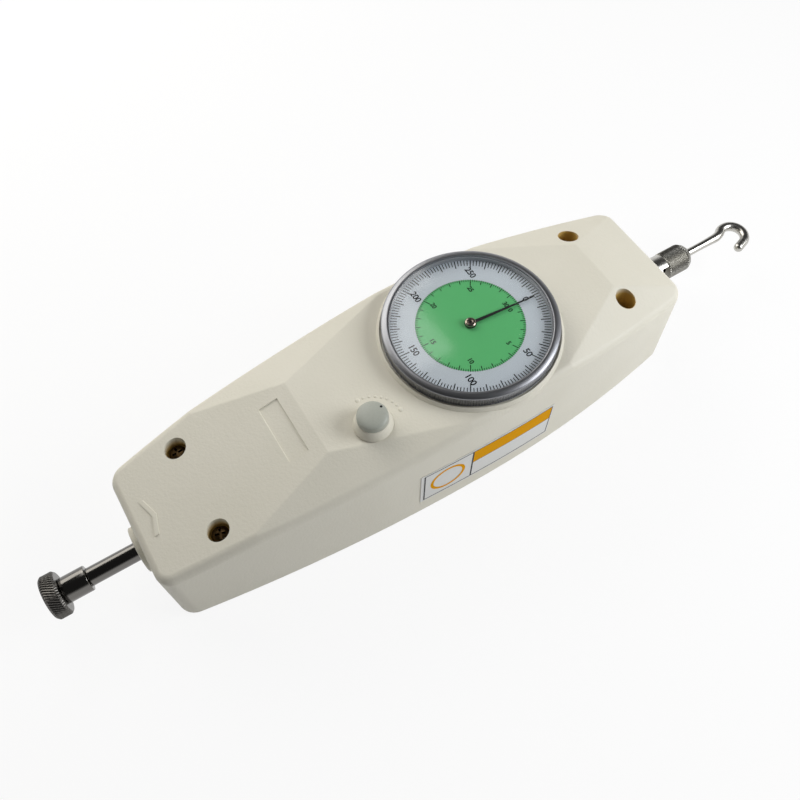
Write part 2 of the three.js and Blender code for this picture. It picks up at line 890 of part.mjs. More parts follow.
function pushAdapter() {
  const bore = studRadius + slideGap;
  const boreEnd = pushShoulderX - pushStudLength - seatGap;
  const spigotEnd = adapterStart - adapterSpigotLength;
  return turnedOnX([
    [spigotEnd, 0],
    [spigotEnd, adapterSpigotRadius],
    [adapterStart, adapterSpigotRadius],
    [adapterStart, adapterRadius],
    [pushShoulderX - seatGap - adapterChamfer, adapterRadius],
    [pushShoulderX - seatGap, adapterRadius - adapterChamfer],
    [pushShoulderX - seatGap, bore],
    [boreEnd, bore],
    [boreEnd, 0],
  ]);
}

function pushDisc() {
  const end = adapterStart - seatGap;
  const start = end - discLength;
  const edge = discRadius - discChamfer;
  const bore = adapterSpigotRadius + slideGap;
  const boreEnd = adapterStart - adapterSpigotLength - seatGap;
  return turnedOnX([
    [start, 0],
    [start, edge],
    [start + discChamfer, discRadius],
    [end - discChamfer, discRadius],
    [end, edge],
    [end, bore],
    [boreEnd, bore],
    [boreEnd, 0],
  ], ringSides);
}

// Hook end

// The neck that is screwed on the shaft, with one wrench flat and a stud for the nut.
function pullCoupling() {
  const boreEnd = pullShaftEndX + seatGap;
  const bore = shaftRadius + slideGap;
  const neck = turnedOnX([
    [couplingStartX, bore],
    [couplingStartX, couplingRadius],
    [couplingEndX, couplingRadius],
    [couplingEndX, studRadius],
    [couplingEndX + pullStudLength, studRadius],
    [couplingEndX + pullStudLength, 0],
    [boreEnd, 0],
    [boreEnd, bore],
    [couplingStartX, bore],
  ]);
  const reach = couplingRadius + overrun;
  const flat = box(couplingFlatX, couplingEndX, -reach, -couplingFlatReach, -reach, reach);
  return neck.subtract(flat.rotate([couplingFlatDeg, 0, 0]));
}

const hookNutStart = couplingEndX + seatGap;
const hookHeadStart = couplingEndX + pullStudLength + 2 * seatGap;

function hookNut() {
  const start = hookNutStart;
  const barrelEnd = start + hookNutBarrel;
  const end = start + hookNutLength;
  const bore = studRadius + slideGap;
  const boreEnd = hookHeadStart + hookHeadLength + seatGap;
  const hole = hookWireRadius + slideGap;
  const profile = [
    [start, bore],
    [start, hookNutRadius - hookNutChamfer],
    [start + hookNutChamfer, hookNutRadius],
  ];
  const domeSteps = 4;
  const domeStart = Math.PI / 2;
  const domeEnd = Math.asin((hole + hookNutChamfer) / hookNutRadius);
  for (let step = 0; step <= domeSteps; step += 1) {
    const angle = domeStart + (domeEnd - domeStart) * step / domeSteps;
    profile.push([barrelEnd + (end - barrelEnd) * Math.cos(angle), hookNutRadius * Math.sin(angle)]);
  }
  const tipAlong = profile[profile.length - 1][0];
  profile.push([tipAlong, hole], [boreEnd, hole], [boreEnd, bore], [start, bore]);
  return turnedOnX(profile);
}

// The hook's centreline: a straight shank, a bend to the far side, a short lead and a round loop.
function hookPath() {
  const start = hookHeadStart + hookHeadLength / 2;
  const points = [new THREE.Vector3(start, 0, 0), new THREE.Vector3((start + hookStraightX) / 2, 0, 0)];
  const bend = radians(hookBendDeg);
  const bendSteps = 3;
  for (let step = 0; step <= bendSteps; step += 1) {
    const angle = bend * step / bendSteps;
    const x = hookStraightX + hookBendRadius * Math.sin(angle);
    points.push(new THREE.Vector3(x, hookBendRadius * (1 - Math.cos(angle)), 0));
  }
  const bendEnd = points[points.length - 1];
  const loopX = bendEnd.x + hookLeadLength * Math.cos(bend) + hookLoopRadius * Math.sin(bend);
  const loopY = bendEnd.y + hookLeadLength * Math.sin(bend) - hookLoopRadius * Math.cos(bend);
  const loopSteps = 13;
  for (let step = 0; step <= loopSteps; step += 1) {
    const angle = Math.PI / 2 + bend - radians(hookLoopDeg) * step / loopSteps;
    const x = loopX + hookLoopRadius * Math.cos(angle);
    const y = loopY + hookLoopRadius * Math.sin(angle);
    points.push(new THREE.Vector3(x, y, 0));
  }
  return new THREE.CatmullRomCurve3(points, false, 'centripetal');
}

function pullHook() {
  const section = polygon(circlePoints(hookWireRadius, hookSides));
  const path = hookPath();
  const settings = { steps: hookSteps, extrudePath: path, bevelEnabled: false };
  const wire = solidOf(new THREE.ExtrudeGeometry(section, settings));
  const tip = path.getPoint(1);
  const ball = new THREE.SphereGeometry(hookWireRadius, hookSides, hookSides / 2);
  const head = discOnX(hookHeadRadius, hookHeadStart, hookHeadStart + hookHeadLength, smallSides);
  return wire.add(at(solidOf(ball), tip.x, tip.y, tip.z)).add(head);
}

// Gears

const rackPinionRadius = gearModule * rackPinionTeeth / 2;
const largeGearRadius = gearModule * largeGearTeeth / 2;
const pointerPinionRadius = gearModule * pointerPinionTeeth / 2;
const arborY = rackPitchY + rackPinionRadius;
const centreDistance = largeGearRadius + pointerPinionRadius;
const arborX = dialX - Math.sqrt(centreDistance * centreDistance - arborY * arborY);
const meshTurn = Math.atan2(-arborY, dialX - arborX);

function involute(angle) {
  return Math.tan(angle) - angle;
}

// Half of a tooth's angle at a radius.
function halfToothAngle(radius, pitchRadius, teeth) {
  const pressure = radians(pressureDeg);
  const base = pitchRadius * Math.cos(pressure);
  const atPitch = Math.PI / (2 * teeth) - backlash / (2 * pitchRadius);
  return atPitch + involute(pressure) - involute(Math.acos(Math.min(1, base / radius)));
}

function gear(teeth, bottom, top, firstTooth) {
  const pitchRadius = gearModule * teeth / 2;
  const tip = pitchRadius + addendumShare * gearModule;
  const root = pitchRadius - dedendumShare * gearModule;
  const atTip = halfToothAngle(tip, pitchRadius, teeth);
  const atRoot = halfToothAngle(root, pitchRadius, teeth);
  const points = [];
  for (let tooth = 0; tooth < teeth; tooth += 1) {
    const middle = firstTooth + 2 * Math.PI * tooth / teeth;
    [[-atRoot, root], [-atTip, tip], [atTip, tip], [atRoot, root]].forEach(([turn, radius]) => {
      points.push([radius * Math.cos(middle + turn), radius * Math.sin(middle + turn)]);
    });
  }
  return prism(polygon(points), bottom, top);
}

const hubTop = ratchetHeight + ratchetThickness + seatGap;
const arborTop = upperPlateHeight + plateThickness;

// The arbor with the pinion that the rack turns, and the hub that carries both wheels.
function gearArbor() {
  const pinionBottom = shaftHeight - rackPinionHeight / 2;
  const pinion = gear(rackPinionTeeth, pinionBottom, pinionBottom + rackPinionHeight, -Math.PI / 2);
  const hubBottom = largeGearHeight - seatGap;
  const post = turned([
    [chassisTop - chassisBase / 2, 0],
    [chassisTop - chassisBase / 2, arborRadius],
    [hubBottom - hubFlange, arborRadius],
    [hubBottom - hubFlange, hubRadius],
    [hubBottom, hubRadius],
    [hubBottom, largeGearBore],
    [hubTop, largeGearBore],
    [hubTop, arborRadius],
    [arborTop, arborRadius],
    [arborTop, 0],
  ], hubSides);
  return pinion.add(post);
}

const hubFlange = 1;

function largeGear() {
  const top = largeGearHeight + largeGearThickness;
  const blank = gear(largeGearTeeth, largeGearHeight, top, meshTurn);
  return blank.subtract(disc(largeGearBore + slideGap, largeGearHeight - overrun, top + overrun, hubSides));
}

function ratchetWheel() {
  const points = [];
  for (let tooth = 0; tooth < ratchetTeeth; tooth += 1) {
    const angle = 2 * Math.PI * tooth / ratchetTeeth;
    const low = ratchetRadius - ratchetDepth;
    points.push([ratchetRadius * Math.cos(angle), ratchetRadius * Math.sin(angle)]);
    points.push([low * Math.cos(angle), low * Math.sin(angle)]);
  }
  const top = ratchetHeight + ratchetThickness;
  const bottom = largeGearHeight + largeGearThickness + seatGap;
  const wheel = prism(polygon(points.reverse()), ratchetHeight, top);
  const boss = disc(hubRadius, bottom, ratchetHeight + ratchetThickness / 2, hubSides);
  return wheel.add(boss).subtract(disc(largeGearBore + slideGap, bottom - overrun, top + overrun, hubSides));
}

function arborBush() {
  const top = chassisBottom + arborBushHeight;
  return ring(arborRadius + slideGap, arborBushRadius, chassisBottom, top, smallSides);
}

function pointerArbor() {
  const pinionTop = pointerPinionHeight + pointerPinionThickness;
  const firstTooth = meshTurn + Math.PI + Math.PI / pointerPinionTeeth;
  const pinion = gear(pointerPinionTeeth, pointerPinionHeight, pinionTop, firstTooth);
  const collarTopHeight = ratchetHeight + ratchetThickness;
  const post = turned([
    [lowerPlateHeight, 0],
    [lowerPlateHeight, pivotRadius],
    [pinionTop - pointerPinionThickness / 2, pivotRadius],
    [pinionTop - pointerPinionThickness / 2, collarRadius],
    [collarTopHeight, collarRadius],
    [collarTopHeight, pivotRadius],
    [pointerHeight + pointerThickness + pointerCapHeight / 2, pivotRadius],
    [pointerHeight + pointerThickness + pointerCapHeight / 2, 0],
  ], smallSides);
  return pinion.add(post);
}

// A flat spiral whose inner end stops at the collar and whose outer end is pinned to the plate.
function hairspring() {
  const stepsPerTurn = 18;
  const steps = hairspringTurns * stepsPerTurn;
  const outer = [];
  const inner = [];
  for (let step = 0; step <= steps; step += 1) {
    const angle = 2 * Math.PI * step / stepsPerTurn;
    const radius = hairspringInner + (hairspringOuter - hairspringInner) * step / steps;
    const low = radius - hairspringWidth;
    outer.push([radius * Math.cos(angle), radius * Math.sin(angle)]);
    inner.push([low * Math.cos(angle), low * Math.sin(angle)]);
  }
  return prism(polygon([...outer, ...inner.reverse()]), ratchetHeight, ratchetHeight + hairspringHeight);
}

// The stud that the hairspring's outer end meets hangs from the upper plate.
const studHalfWidth = hairspringWidth * 2;
const studReach = hairspringOuter + seatGap + 2 * studHalfWidth;

function hairspringStud() {
  const bottom = ratchetHeight;
  const half = studHalfWidth;
  const start = hairspringOuter + seatGap;
  return box(start, studReach, -half, half, bottom, upperPlateHeight + plateThickness / 2);
}

// Movement plates and posts

const postPlaces = [[postX, postY], [postX, -postY], [rearPostX, rearPostY]];

function lowerPlate() {
  const top = lowerPlateHeight + plateThickness;
  const shape = roundedPlate(plateStartX, plateEndX, -plateHalfWidth, plateHalfWidth, plateCorner);
  let plate = prism(shape, lowerPlateHeight, top, smallSides);
  const drill = (radius, x, y) => {
    plate = plate.subtract(at(disc(radius, lowerPlateHeight - overrun, top + overrun, smallSides), x, y));
  };
  postPlaces.forEach(([x, y]) => drill(movementPostNeck + slideGap, x, y));
  drill(pivotRadius + slideGap, dialX, 0);
  drill(arborRadius + rimGap, arborX, arborY);
  drill(selectorPivotRadius + slideGap, knobX, knobY);
  drill(pawlPivotRadius + slideGap, pawlPivotX, pawlPivotY);
  return plate;
}

function upperPlate() {
  const top = upperPlateHeight + plateThickness;
  const endX = Math.max(plateEndX, dialX + studReach + plateMargin);
  const shape = roundedPlate(upperPlateStartX, endX, -plateHalfWidth, plateHalfWidth, plateCorner);
  let plate = prism(shape, upperPlateHeight, top, smallSides);
  const drill = (radius, x, y) => {
    plate = plate.subtract(at(disc(radius, upperPlateHeight - overrun, top + overrun, smallSides), x, y));
  };
  postPlaces.forEach(([x, y]) => drill(movementScrewRadius + slideGap, x, y));
  drill(pivotRadius + slideGap, dialX, 0);
  drill(arborRadius + slideGap, arborX, arborY);
  return plate.add(at(hairspringStud(), dialX, 0));
}

function movementPost() {
  const top = upperPlateHeight - seatGap;
  const shoulder = lowerPlateHeight - seatGap;
  const bottom = chassisTop + seatGap;
  const post = turned([
    [bottom, 0],
    [bottom, movementPostRadius],
    [shoulder, movementPostRadius],
    [shoulder, movementPostNeck],
    [top, movementPostNeck],
    [top, 0],
  ], smallSides);
  const boreBottom = upperPlateHeight + plateThickness - movementScrewLength - seatGap;
  return post.subtract(disc(movementScrewRadius + slideGap, boreBottom, top + overrun, smallSides));
}

// Dial, all drawn about the dial's own axis

function dialFace() {
  const bottom = dialFaceHeight - dialFaceThickness;
  return ring(dialFaceBore, dialFaceRadius, bottom, dialFaceHeight, ringSides);
}

const bezelBottom = facetHeight + collarRise + bezelGap;

function bezel() {
  return turned([
    [bezelBottom, bezelBore],
    [bezelBottom, bezelRadius],
    [bezelTop - bezelChamfer, bezelRadius],
    [bezelTop, bezelRadius - bezelRimWidth],
    [bezelTop, bezelBore - bezelLipWidth],
    [bezelTop - bezelLip, bezelBore - bezelLipWidth],
    [bezelTop - bezelLip, bezelBore],
    [bezelBottom, bezelBore],
  ], ringSides);
}

function dialCarrier() {
  const top = dialFaceHeight - dialFaceThickness - seatGap;
  const grooveTop = grooveBottom + grooveWidth;
  return turned([
    [carrierBottom, carrierBore],
    [carrierBottom, carrierRadius],
    [grooveBottom, carrierRadius],
    [grooveBottom, carrierRadius - grooveDepth],
    [grooveTop, carrierRadius - grooveDepth],
    [grooveTop, carrierRadius],
    [bezelBottom, carrierRadius],
    [bezelBottom, bezelBore - seatGap],
    [top, bezelBore - seatGap],
    [top, carrierBore],
    [carrierBottom, carrierBore],
  ], ringSides);
}

const crystalTop = bezelTop - bezelLip - seatGap;
const crystalRadius = bezelBore - slideGap;

function crystal() {
  return disc(crystalRadius, crystalTop - crystalThickness, crystalTop, ringSides);
}

function crystalSpacer() {
  const top = crystalTop - crystalThickness - seatGap;
  return ring(crystalRadius - spacerWall, crystalRadius, dialFaceHeight + seatGap, top, ringSides);
}

// An open ring that snaps into the carrier's groove under the housing's front wall.
function snapRing() {
  const bottom = grooveBottom + (grooveWidth - snapThickness) / 2;
  const bore = carrierRadius - grooveDepth + slideGap;
  const open = radians(snapSlotDeg / 2);
  const shape = new THREE.Shape();
  shape.absarc(0, 0, snapRadius, open, 2 * Math.PI - open, false);
  shape.absarc(0, 0, bore, 2 * Math.PI - open, open, true);
  shape.closePath();
  return prism(shape, bottom, bottom + snapThickness, ringSides);
}

function pointerNeedle() {
  const shape = polygon([
    [0, -pointerHalfRoot],
    [pointerLength, -pointerHalfTip],
    [pointerLength, pointerHalfTip],
    [0, pointerHalfRoot],
  ]);
  const top = pointerHeight + pointerThickness;
  const needle = prism(shape, pointerHeight, top).add(disc(pointerHubRadius, pointerHeight, top));
  return needle.subtract(disc(pivotRadius + slideGap, pointerHeight - overrun, top + overrun, smallSides));
}

function pointerCap() {
  const bottom = pointerHeight + pointerThickness + seatGap;
  const top = bottom + pointerCapHeight;
  const crown = pointerCapHeight / 3;
  const bore = pivotRadius + slideGap;
  const boreTop = pointerHeight + pointerThickness + pointerCapHeight / 2 + seatGap;
  return turned([
    [bottom, bore],
    [bottom, pointerCapRadius],
    [top - crown, pointerCapRadius],
    [top, pointerCapRadius - crown],
    [top, 0],
    [boreTop, 0],
    [boreTop, bore],
    [bottom, bore],
  ], smallSides);
}

// Selector, all drawn about the knob's own axis

function selectorKnob() {
  const bottom = facetHeight + rimGap;
  return turned([
    [bottom, selectorRadius + slideGap],
    [bottom, knobBaseRadius],
    [knobConeTop, knobTopRadius],
    [knobConeTop, selectorRadius + slideGap],
    [bottom, selectorRadius + slideGap],
  ]);
}

function selectorCap() {
  const bottom = knobConeTop + seatGap;
  const domeSteps = 4;
  const profile = [[bottom, selectorRadius + slideGap], [bottom, knobCapRadius]];
  for (let step = 0; step <= domeSteps; step += 1) {
    const share = 1 - step / domeSteps;
    profile.push([knobCapSide + (knobCapTop - knobCapSide) * (1 - share * share), knobCapRadius * share]);
  }
  profile.push([knobBoreTop, 0], [knobBoreTop, selectorRadius + slideGap], profile[0]);
  const cap = turned(profile);
  const dot = disc(dotRadius, knobCapTop - dotDepth, knobCapTop + overrun, smallSides);
  return cap.subtract(at(dot, dotReach, 0));
}

const clipBottom = selectorBossBottom - seatGap - clipThickness;

// The selector's shaft with its retaining groove, its cam and the pivot below.
function selectorShaft() {
  const camTop = ratchetHeight + ratchetThickness;
  const shaft = turned([
    [lowerPlateHeight, 0],
    [lowerPlateHeight, selectorPivotRadius],
    [lowerPlateHeight + plateThickness + seatGap, selectorPivotRadius],
    [lowerPlateHeight + plateThickness + seatGap, selectorRadius],
    [clipBottom - seatGap, selectorRadius],
    [clipBottom - seatGap, selectorRadius - clipGroove],
    [clipBottom + clipThickness + seatGap, selectorRadius - clipGroove],
    [clipBottom + clipThickness + seatGap, selectorRadius],
    [knobBoreTop - seatGap, selectorRadius],
    [knobBoreTop - seatGap, 0],
  ], smallSides);
  const lobe = at(disc(camLobeRadius, ratchetHeight, camTop, smallSides), camLobeReach, 0);
  return shaft.add(disc(camRadius, ratchetHeight, camTop, smallSides)).add(lobe);
}

function selectorClip() {
  const bore = selectorRadius - clipGroove + slideGap / 2;
  const clip = ring(bore, clipRadius, clipBottom, clipBottom + clipThickness, smallSides);
  const slot = clipSlotHalfWidth;
  const reach = clipRadius + overrun;
  return clip.subtract(box(-reach, 0, -slot, slot, clipBottom - overrun, clipBottom + overrun));
}

// Pawl, drawn about its own pivot: a nose to the ratchet wheel and a tail to the cam

function barBetween(from, to, halfSpan, bottom, top) {
  const along = new THREE.Vector2(to[0] - from[0], to[1] - from[1]).normalize().multiplyScalar(halfSpan);
  const shape = polygon([
    [from[0] + along.y, from[1] - along.x],
    [to[0] + along.y, to[1] - along.x],
    [to[0] - along.y, to[1] + along.x],
    [from[0] - along.y, from[1] + along.x],
  ]);
  return prism(shape, bottom, top);
}

function pawlLever() {
  const bottom = ratchetHeight;
  const top = ratchetHeight + ratchetThickness;
  const pad = [knobX - pawlPivotX, knobY + pawlPadY - pawlPivotY];
  const noseEnd = arborX - ratchetRadius - pawlClearance - pawlPivotX;
  const noseY = arborY - pawlPivotY;
  const armX = noseEnd - pawlNose;
  const nose = polygon([
    [armX - pawlHalfWidth, noseY - pawlHalfWidth],
    [armX + pawlHalfWidth, noseY - pawlHalfWidth],
    [noseEnd, noseY],
    [armX + pawlHalfWidth, noseY + pawlHalfWidth],
    [armX - pawlHalfWidth, noseY + pawlHalfWidth],
  ]);
  return disc(pawlEyeRadius, bottom, top, smallSides)
    .add(barBetween([0, 0], pad, pawlHalfWidth, bottom, top))
    .add(at(disc(pawlPadRadius, bottom, top, smallSides), pad[0], pad[1]))
    .add(barBetween([0, 0], [armX, noseY], pawlHalfWidth, bottom, top))
    .add(prism(nose, bottom, top))
    .subtract(disc(pawlPivotRadius + slideGap, bottom - overrun, top + overrun, smallSides));
}

const pawlSpringBottom = ratchetHeight + ratchetThickness + seatGap;

function pawlPivotScrew() {
  const shoulderBottom = lowerPlateHeight + plateThickness + seatGap;
  const shoulderTop = ratchetHeight - seatGap;
  const headBottom = pawlSpringBottom + pawlSpringHeight + seatGap;
  return turned([
    [lowerPlateHeight, 0],
    [lowerPlateHeight, pawlPivotRadius],
    [shoulderBottom, pawlPivotRadius],
    [shoulderBottom, pawlShoulderRadius],
    [shoulderTop, pawlShoulderRadius],
    [shoulderTop, pawlPivotRadius],
    [headBottom, pawlPivotRadius],
    [headBottom, pawlHeadRadius],
    [headBottom + pawlHeadHeight, pawlHeadRadius],
    [headBottom + pawlHeadHeight, 0],
  ], smallSides);
}

function pawlSpring() {
  const bottom = pawlSpringBottom;
  const top = bottom + pawlSpringHeight;
  const bore = pawlPivotRadius + slideGap;
  const outer = bore + 2 * pawlSpringWall;
  const half = pawlSpringWall / 2;
  const middle = outer - half;
  return ring(bore, outer, bottom, top, smallSides)
    .add(box(-pawlSpringLeg, 0, middle - half, middle + half, bottom, top))
    .add(box(middle - half, middle + half, -pawlSpringLeg, 0, bottom, top));
}

// Label on the near side, which follows the faceted wall

function wallPlace(x) {
  const stations = sideStations();
  const next = stations.findIndex((station) => station >= x);
  const [x0, x1] = [stations[next - 1], stations[next]];
  const share = (x - x0) / (x1 - x0);
  return halfWidth(x0) + (halfWidth(x1) - halfWidth(x0)) * share;
}

function sideLabel() {
  const between = sideStations().filter((x) => x > labelStartX && x < labelEndX);
  const places = [labelStartX, ...between, labelEndX];
  const inner = places.map((x) => [x, -wallPlace(x) - seatGap / 2]);
  const outer = places.map((x) => [x, -wallPlace(x) - seatGap / 2 - labelThickness]).reverse();
  return prism(polygon([...inner, ...outer]), labelBottom, labelTop);
}

// Assembly

const gauge = new THREE.Group();

gauge.add(piece('front_housing', frontHousing(), ivory, 0.55));
gauge.add(piece('rear_cover', rearCover(), ivoryDark, 0.6));
gauge.add(piece('side_label', sideLabel(), 0xd9d9d4, 0.4));
gauge.add(piece('chassis', chassis(), aluminium, 0.45, 0.9));

wellPlaces.forEach(([x, y], index) => {
  const solid = crossedScrew(coverScrewRadius, coverScrewHead, coverScrewHeadHeight, coverScrewLength);
  const screw = piece(`cover_screw_${index + 1}`, solid, darkSteel, 0.4, 1);
  screw.position.set(x, y, wellFloorHeight + seatGap);
  gauge.add(screw);
});

chassisScrewPlaces.forEach(([x, y], index) => {
  const solid = headedScrew(coverScrewRadius, coverScrewHead, coverScrewHeadHeight, chassisScrewLength);
  const screw = piece(`chassis_screw_${index + 1}`, solid, steel, 0.4, 1);
  screw.position.set(x, y, chassisTop + seatGap);
  gauge.add(screw);
});

[-1, 1].forEach((end, index) => {
  const solid = ring(insertBore, insertRadius, 0, insertLength, smallSides);
  const insert = piece(`stand_insert_${index + 1}`, solid, brass, 0.35, 1);
  insert.position.set(end * insertX, 0, 0);
  gauge.add(insert);
});

const shaftLine = new THREE.Group();
shaftLine.position.z = shaftHeight;
gauge.add(shaftLine);

[['push', -1, shaftRadius], ['pull', 1, couplingRadius]].forEach(([name, end, runRadius]) => {
  const guide = piece(`${name}_guide_bush`, guideBush(), brass, 0.35, 1);
  guide.position.x = end * chassisHalfLength;
  guide.rotation.z = end > 0 ? 0 : Math.PI;
  const nose = piece(`${name}_nose_bush`, noseBush(runRadius + slideGap), ivory, 0.5);
  nose.position.x = end * bodyHalfLength;
  nose.rotation.z = end > 0 ? 0 : Math.PI;
  shaftLine.add(guide, nose);
});

shaftLine.add(piece('main_shaft', mainShaft(), steel, 0.2, 1));
shaftLine.add(piece('preload_nut', preloadNut(), steel, 0.4, 1));
shaftLine.add(piece('spring_seat', springSeat(), steel, 0.4, 1));
shaftLine.add(piece('main_spring', mainSpring(), darkSteel, 0.4, 1));
shaftLine.add(piece('rack_block', rackBlock(), steel, 0.4, 1));
shaftLine.add(piece('stop_collar', stopCollar(), steel, 0.4, 1));
shaftLine.add(piece('push_adapter', pushAdapter(), steel, 0.2, 1));
shaftLine.add(piece('push_disc', pushDisc(), steel, 0.3, 1));
shaftLine.add(piece('pull_coupling', pullCoupling(), steel, 0.25, 1));
shaftLine.add(piece('hook_nut', hookNut(), steel, 0.3, 1));
shaftLine.add(piece('hook', pullHook(), steel, 0.2, 1));

const setScrew = piece('rack_set_screw', rackSetScrew(), darkSteel, 0.4, 1);
setScrew.position.set(rackMiddleX, -shaftRadius - seatGap, 0);
setScrew.rotation.x = Math.PI / 2;
shaftLine.add(setScrew);

gauge.add(piece('lower_plate', lowerPlate(), brass, 0.4, 1));
gauge.add(piece('upper_plate', upperPlate(), brass, 0.4, 1));

postPlaces.forEach(([x, y], index) => {
  const post = piece(`movement_post_${index + 1}`, movementPost(), brass, 0.4, 1);
  post.position.set(x, y, 0);
  const solid = headedScrew(
    movementScrewRadius, movementScrewHead, movementScrewHeadHeight, movementScrewLength - seatGap,
  );
  const screw = piece(`movement_screw_${index + 1}`, solid, steel, 0.4, 1);
  screw.position.set(x, y, upperPlateHeight + plateThickness + seatGap);
  gauge.add(post, screw);
});

const gearGroup = new THREE.Group();
gearGroup.position.set(arborX, arborY, 0);
gearGroup.add(piece('gear_arbor', gearArbor(), steel, 0.35, 1));
gearGroup.add(piece('large_gear', largeGear(), brass, 0.35, 1));
gearGroup.add(piece('ratchet_wheel', ratchetWheel(), steel, 0.35, 1));
gearGroup.add(piece('arbor_bush', arborBush(), brass, 0.35, 1));
gauge.add(gearGroup);

const dialGroup = new THREE.Group();
dialGroup.position.set(dialX, 0, 0);
dialGroup.add(piece('pointer_arbor', pointerArbor(), steel, 0.35, 1));
dialGroup.add(piece('hairspring', hairspring(), darkSteel, 0.35, 1));
dialGroup.add(piece('dial_face', dialFace(), 0xc4ccd2, 0.5));
dialGroup.add(piece('dial_carrier', dialCarrier(), aluminium, 0.4, 1));
dialGroup.add(piece('bezel', bezel(), steel, 0.25, 1));
dialGroup.add(piece('crystal', crystal(), 0xf4f8fa, 0.05));
dialGroup.add(piece('crystal_spacer', crystalSpacer(), 0x8f9496, 0.4));
dialGroup.add(piece('carrier_snap_ring', snapRing(), steel, 0.4, 1));
const needle = piece('pointer', pointerNeedle(), black, 0.5);
needle.rotation.z = radians(dialTurnDeg);
dialGroup.add(needle);
dialGroup.add(piece('pointer_cap', pointerCap(), steel, 0.3, 1));
gauge.add(dialGroup);

const selectorGroup = new THREE.Group();
selectorGroup.position.set(knobX, knobY, 0);
selectorGroup.add(piece('selector_knob', selectorKnob(), ivory, 0.5));
selectorGroup.add(piece('selector_cap', selectorCap(), knobGrey, 0.45));
selectorGroup.add(piece('selector_shaft', selectorShaft(), steel, 0.4, 1));
selectorGroup.add(piece('selector_clip', selectorClip(), steel, 0.4, 1));
gauge.add(selectorGroup);

const pawlGroup = new THREE.Group();
pawlGroup.position.set(pawlPivotX, pawlPivotY, 0);
pawlGroup.add(piece('pawl_lever', pawlLever(), steel, 0.4, 1));
pawlGroup.add(piece('pawl_pivot_screw', pawlPivotScrew(), brass, 0.4, 1));
pawlGroup.add(piece('pawl_spring', pawlSpring(), darkSteel, 0.4, 1));
gauge.add(pawlGroup);

export default gauge;
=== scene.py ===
import math

import bmesh
import bpy
from mathutils import Matrix, Vector


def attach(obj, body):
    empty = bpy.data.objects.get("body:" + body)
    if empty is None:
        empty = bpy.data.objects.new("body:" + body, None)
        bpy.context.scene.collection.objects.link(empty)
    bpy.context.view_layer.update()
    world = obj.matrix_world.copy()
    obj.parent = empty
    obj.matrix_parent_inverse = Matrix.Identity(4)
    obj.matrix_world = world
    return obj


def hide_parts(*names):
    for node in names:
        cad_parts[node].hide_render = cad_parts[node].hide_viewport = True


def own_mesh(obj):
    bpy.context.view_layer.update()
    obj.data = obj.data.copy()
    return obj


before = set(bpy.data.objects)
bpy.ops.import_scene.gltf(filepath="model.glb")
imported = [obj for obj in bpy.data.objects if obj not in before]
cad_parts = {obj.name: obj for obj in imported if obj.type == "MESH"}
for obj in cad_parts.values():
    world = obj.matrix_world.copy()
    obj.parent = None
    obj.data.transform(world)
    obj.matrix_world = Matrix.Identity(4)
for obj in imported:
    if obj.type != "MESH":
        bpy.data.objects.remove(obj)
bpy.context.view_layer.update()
# One millimetre in metres, Blender's unit.
MM = 0.001


# Front housing. One injection moulding of ivory ABS: sloping facets that meet in soft folds,
# a raised collar for the dial, a hole for the knob and four deep screw wells. It stands on the
# rear cover and is held by four screws from the front. Sizes are in millimetres.
half_length = 96.5
widest_x, widest_half = 14.0, 30.2
push_end_half, pull_end_half = 21.2, 21.5
corner_radius = 6.0
foot = 0.5
wall = 2.5
rim_radius = 3.0
shaft_z = 17.0
facet_z = 43.5
push_edge_z, pull_edge_z, pull_corner_z = 31.8, 36.2, 35.2
push_fold_x, push_fold_y = -36.0, 14.1
pull_fold_x, pull_fold_y = 73.1, 10.4
push_rim_x = -71.3
wide_start_x, wide_end_x = 13.0, 37.8
dial_x, dial_bore = 23.4, 25.5
knob_x, knob_y = -20.0, -13.0
well_x, well_y, well_radius, well_z = 74.4, 15.6, 3.5, 31.0


def half_width(x):
    """Half of the housing's width, a shallow arc on both sides of its widest place."""
    end_x = -half_length if x < widest_x else half_length
    end_half = push_end_half if x < widest_x else pull_end_half
    return widest_half - (widest_half - end_half) * ((x - widest_x) / (end_x - widest_x)) ** 2


def side_slope(x):
    """How much the housing's half width grows for each millimetre along it."""
    end_x = -half_length if x < widest_x else half_length
    end_half = push_end_half if x < widest_x else pull_end_half
    return -2 * (widest_half - end_half) * (x - widest_x) / (end_x - widest_x) ** 2


def facet(a, b, c):
    """A facet's upward normal and its distance from the origin, through three points."""
    normal = (b - a).cross(c - a).normalized()
    if normal.z < 0:
        normal.negate()
    return normal, normal.dot(a)


push_slope = (facet_z - push_edge_z) / (push_fold_x + half_length)
push_rim_z = facet_z + push_slope * (push_rim_x - push_fold_x)
facets = [
    (Vector((0, 0, 1)), facet_z),
    facet(
        Vector((push_fold_x, 0, facet_z)),
        Vector((push_fold_x, 1, facet_z)),
        Vector((-half_length, 0, push_edge_z)),
    ),
    facet(
        Vector((pull_fold_x, 0, facet_z)),
        Vector((pull_fold_x, 1, facet_z)),
        Vector((half_length, 0, pull_edge_z)),
    ),
]
for side in (-1, 1):
    facets.append(facet(
        Vector((push_fold_x, side * push_fold_y, facet_z)),
        Vector((push_rim_x, side * half_width(push_rim_x), push_rim_z)),
        Vector((wide_start_x, side * half_width(wide_start_x), facet_z)),
    ))
    facets.append(facet(
        Vector((pull_fold_x, side * pull_fold_y, facet_z)),
        Vector((wide_end_x, side * half_width(wide_end_x), facet_z)),
        Vector((half_length, side * pull_end_half, pull_corner_z)),
    ))


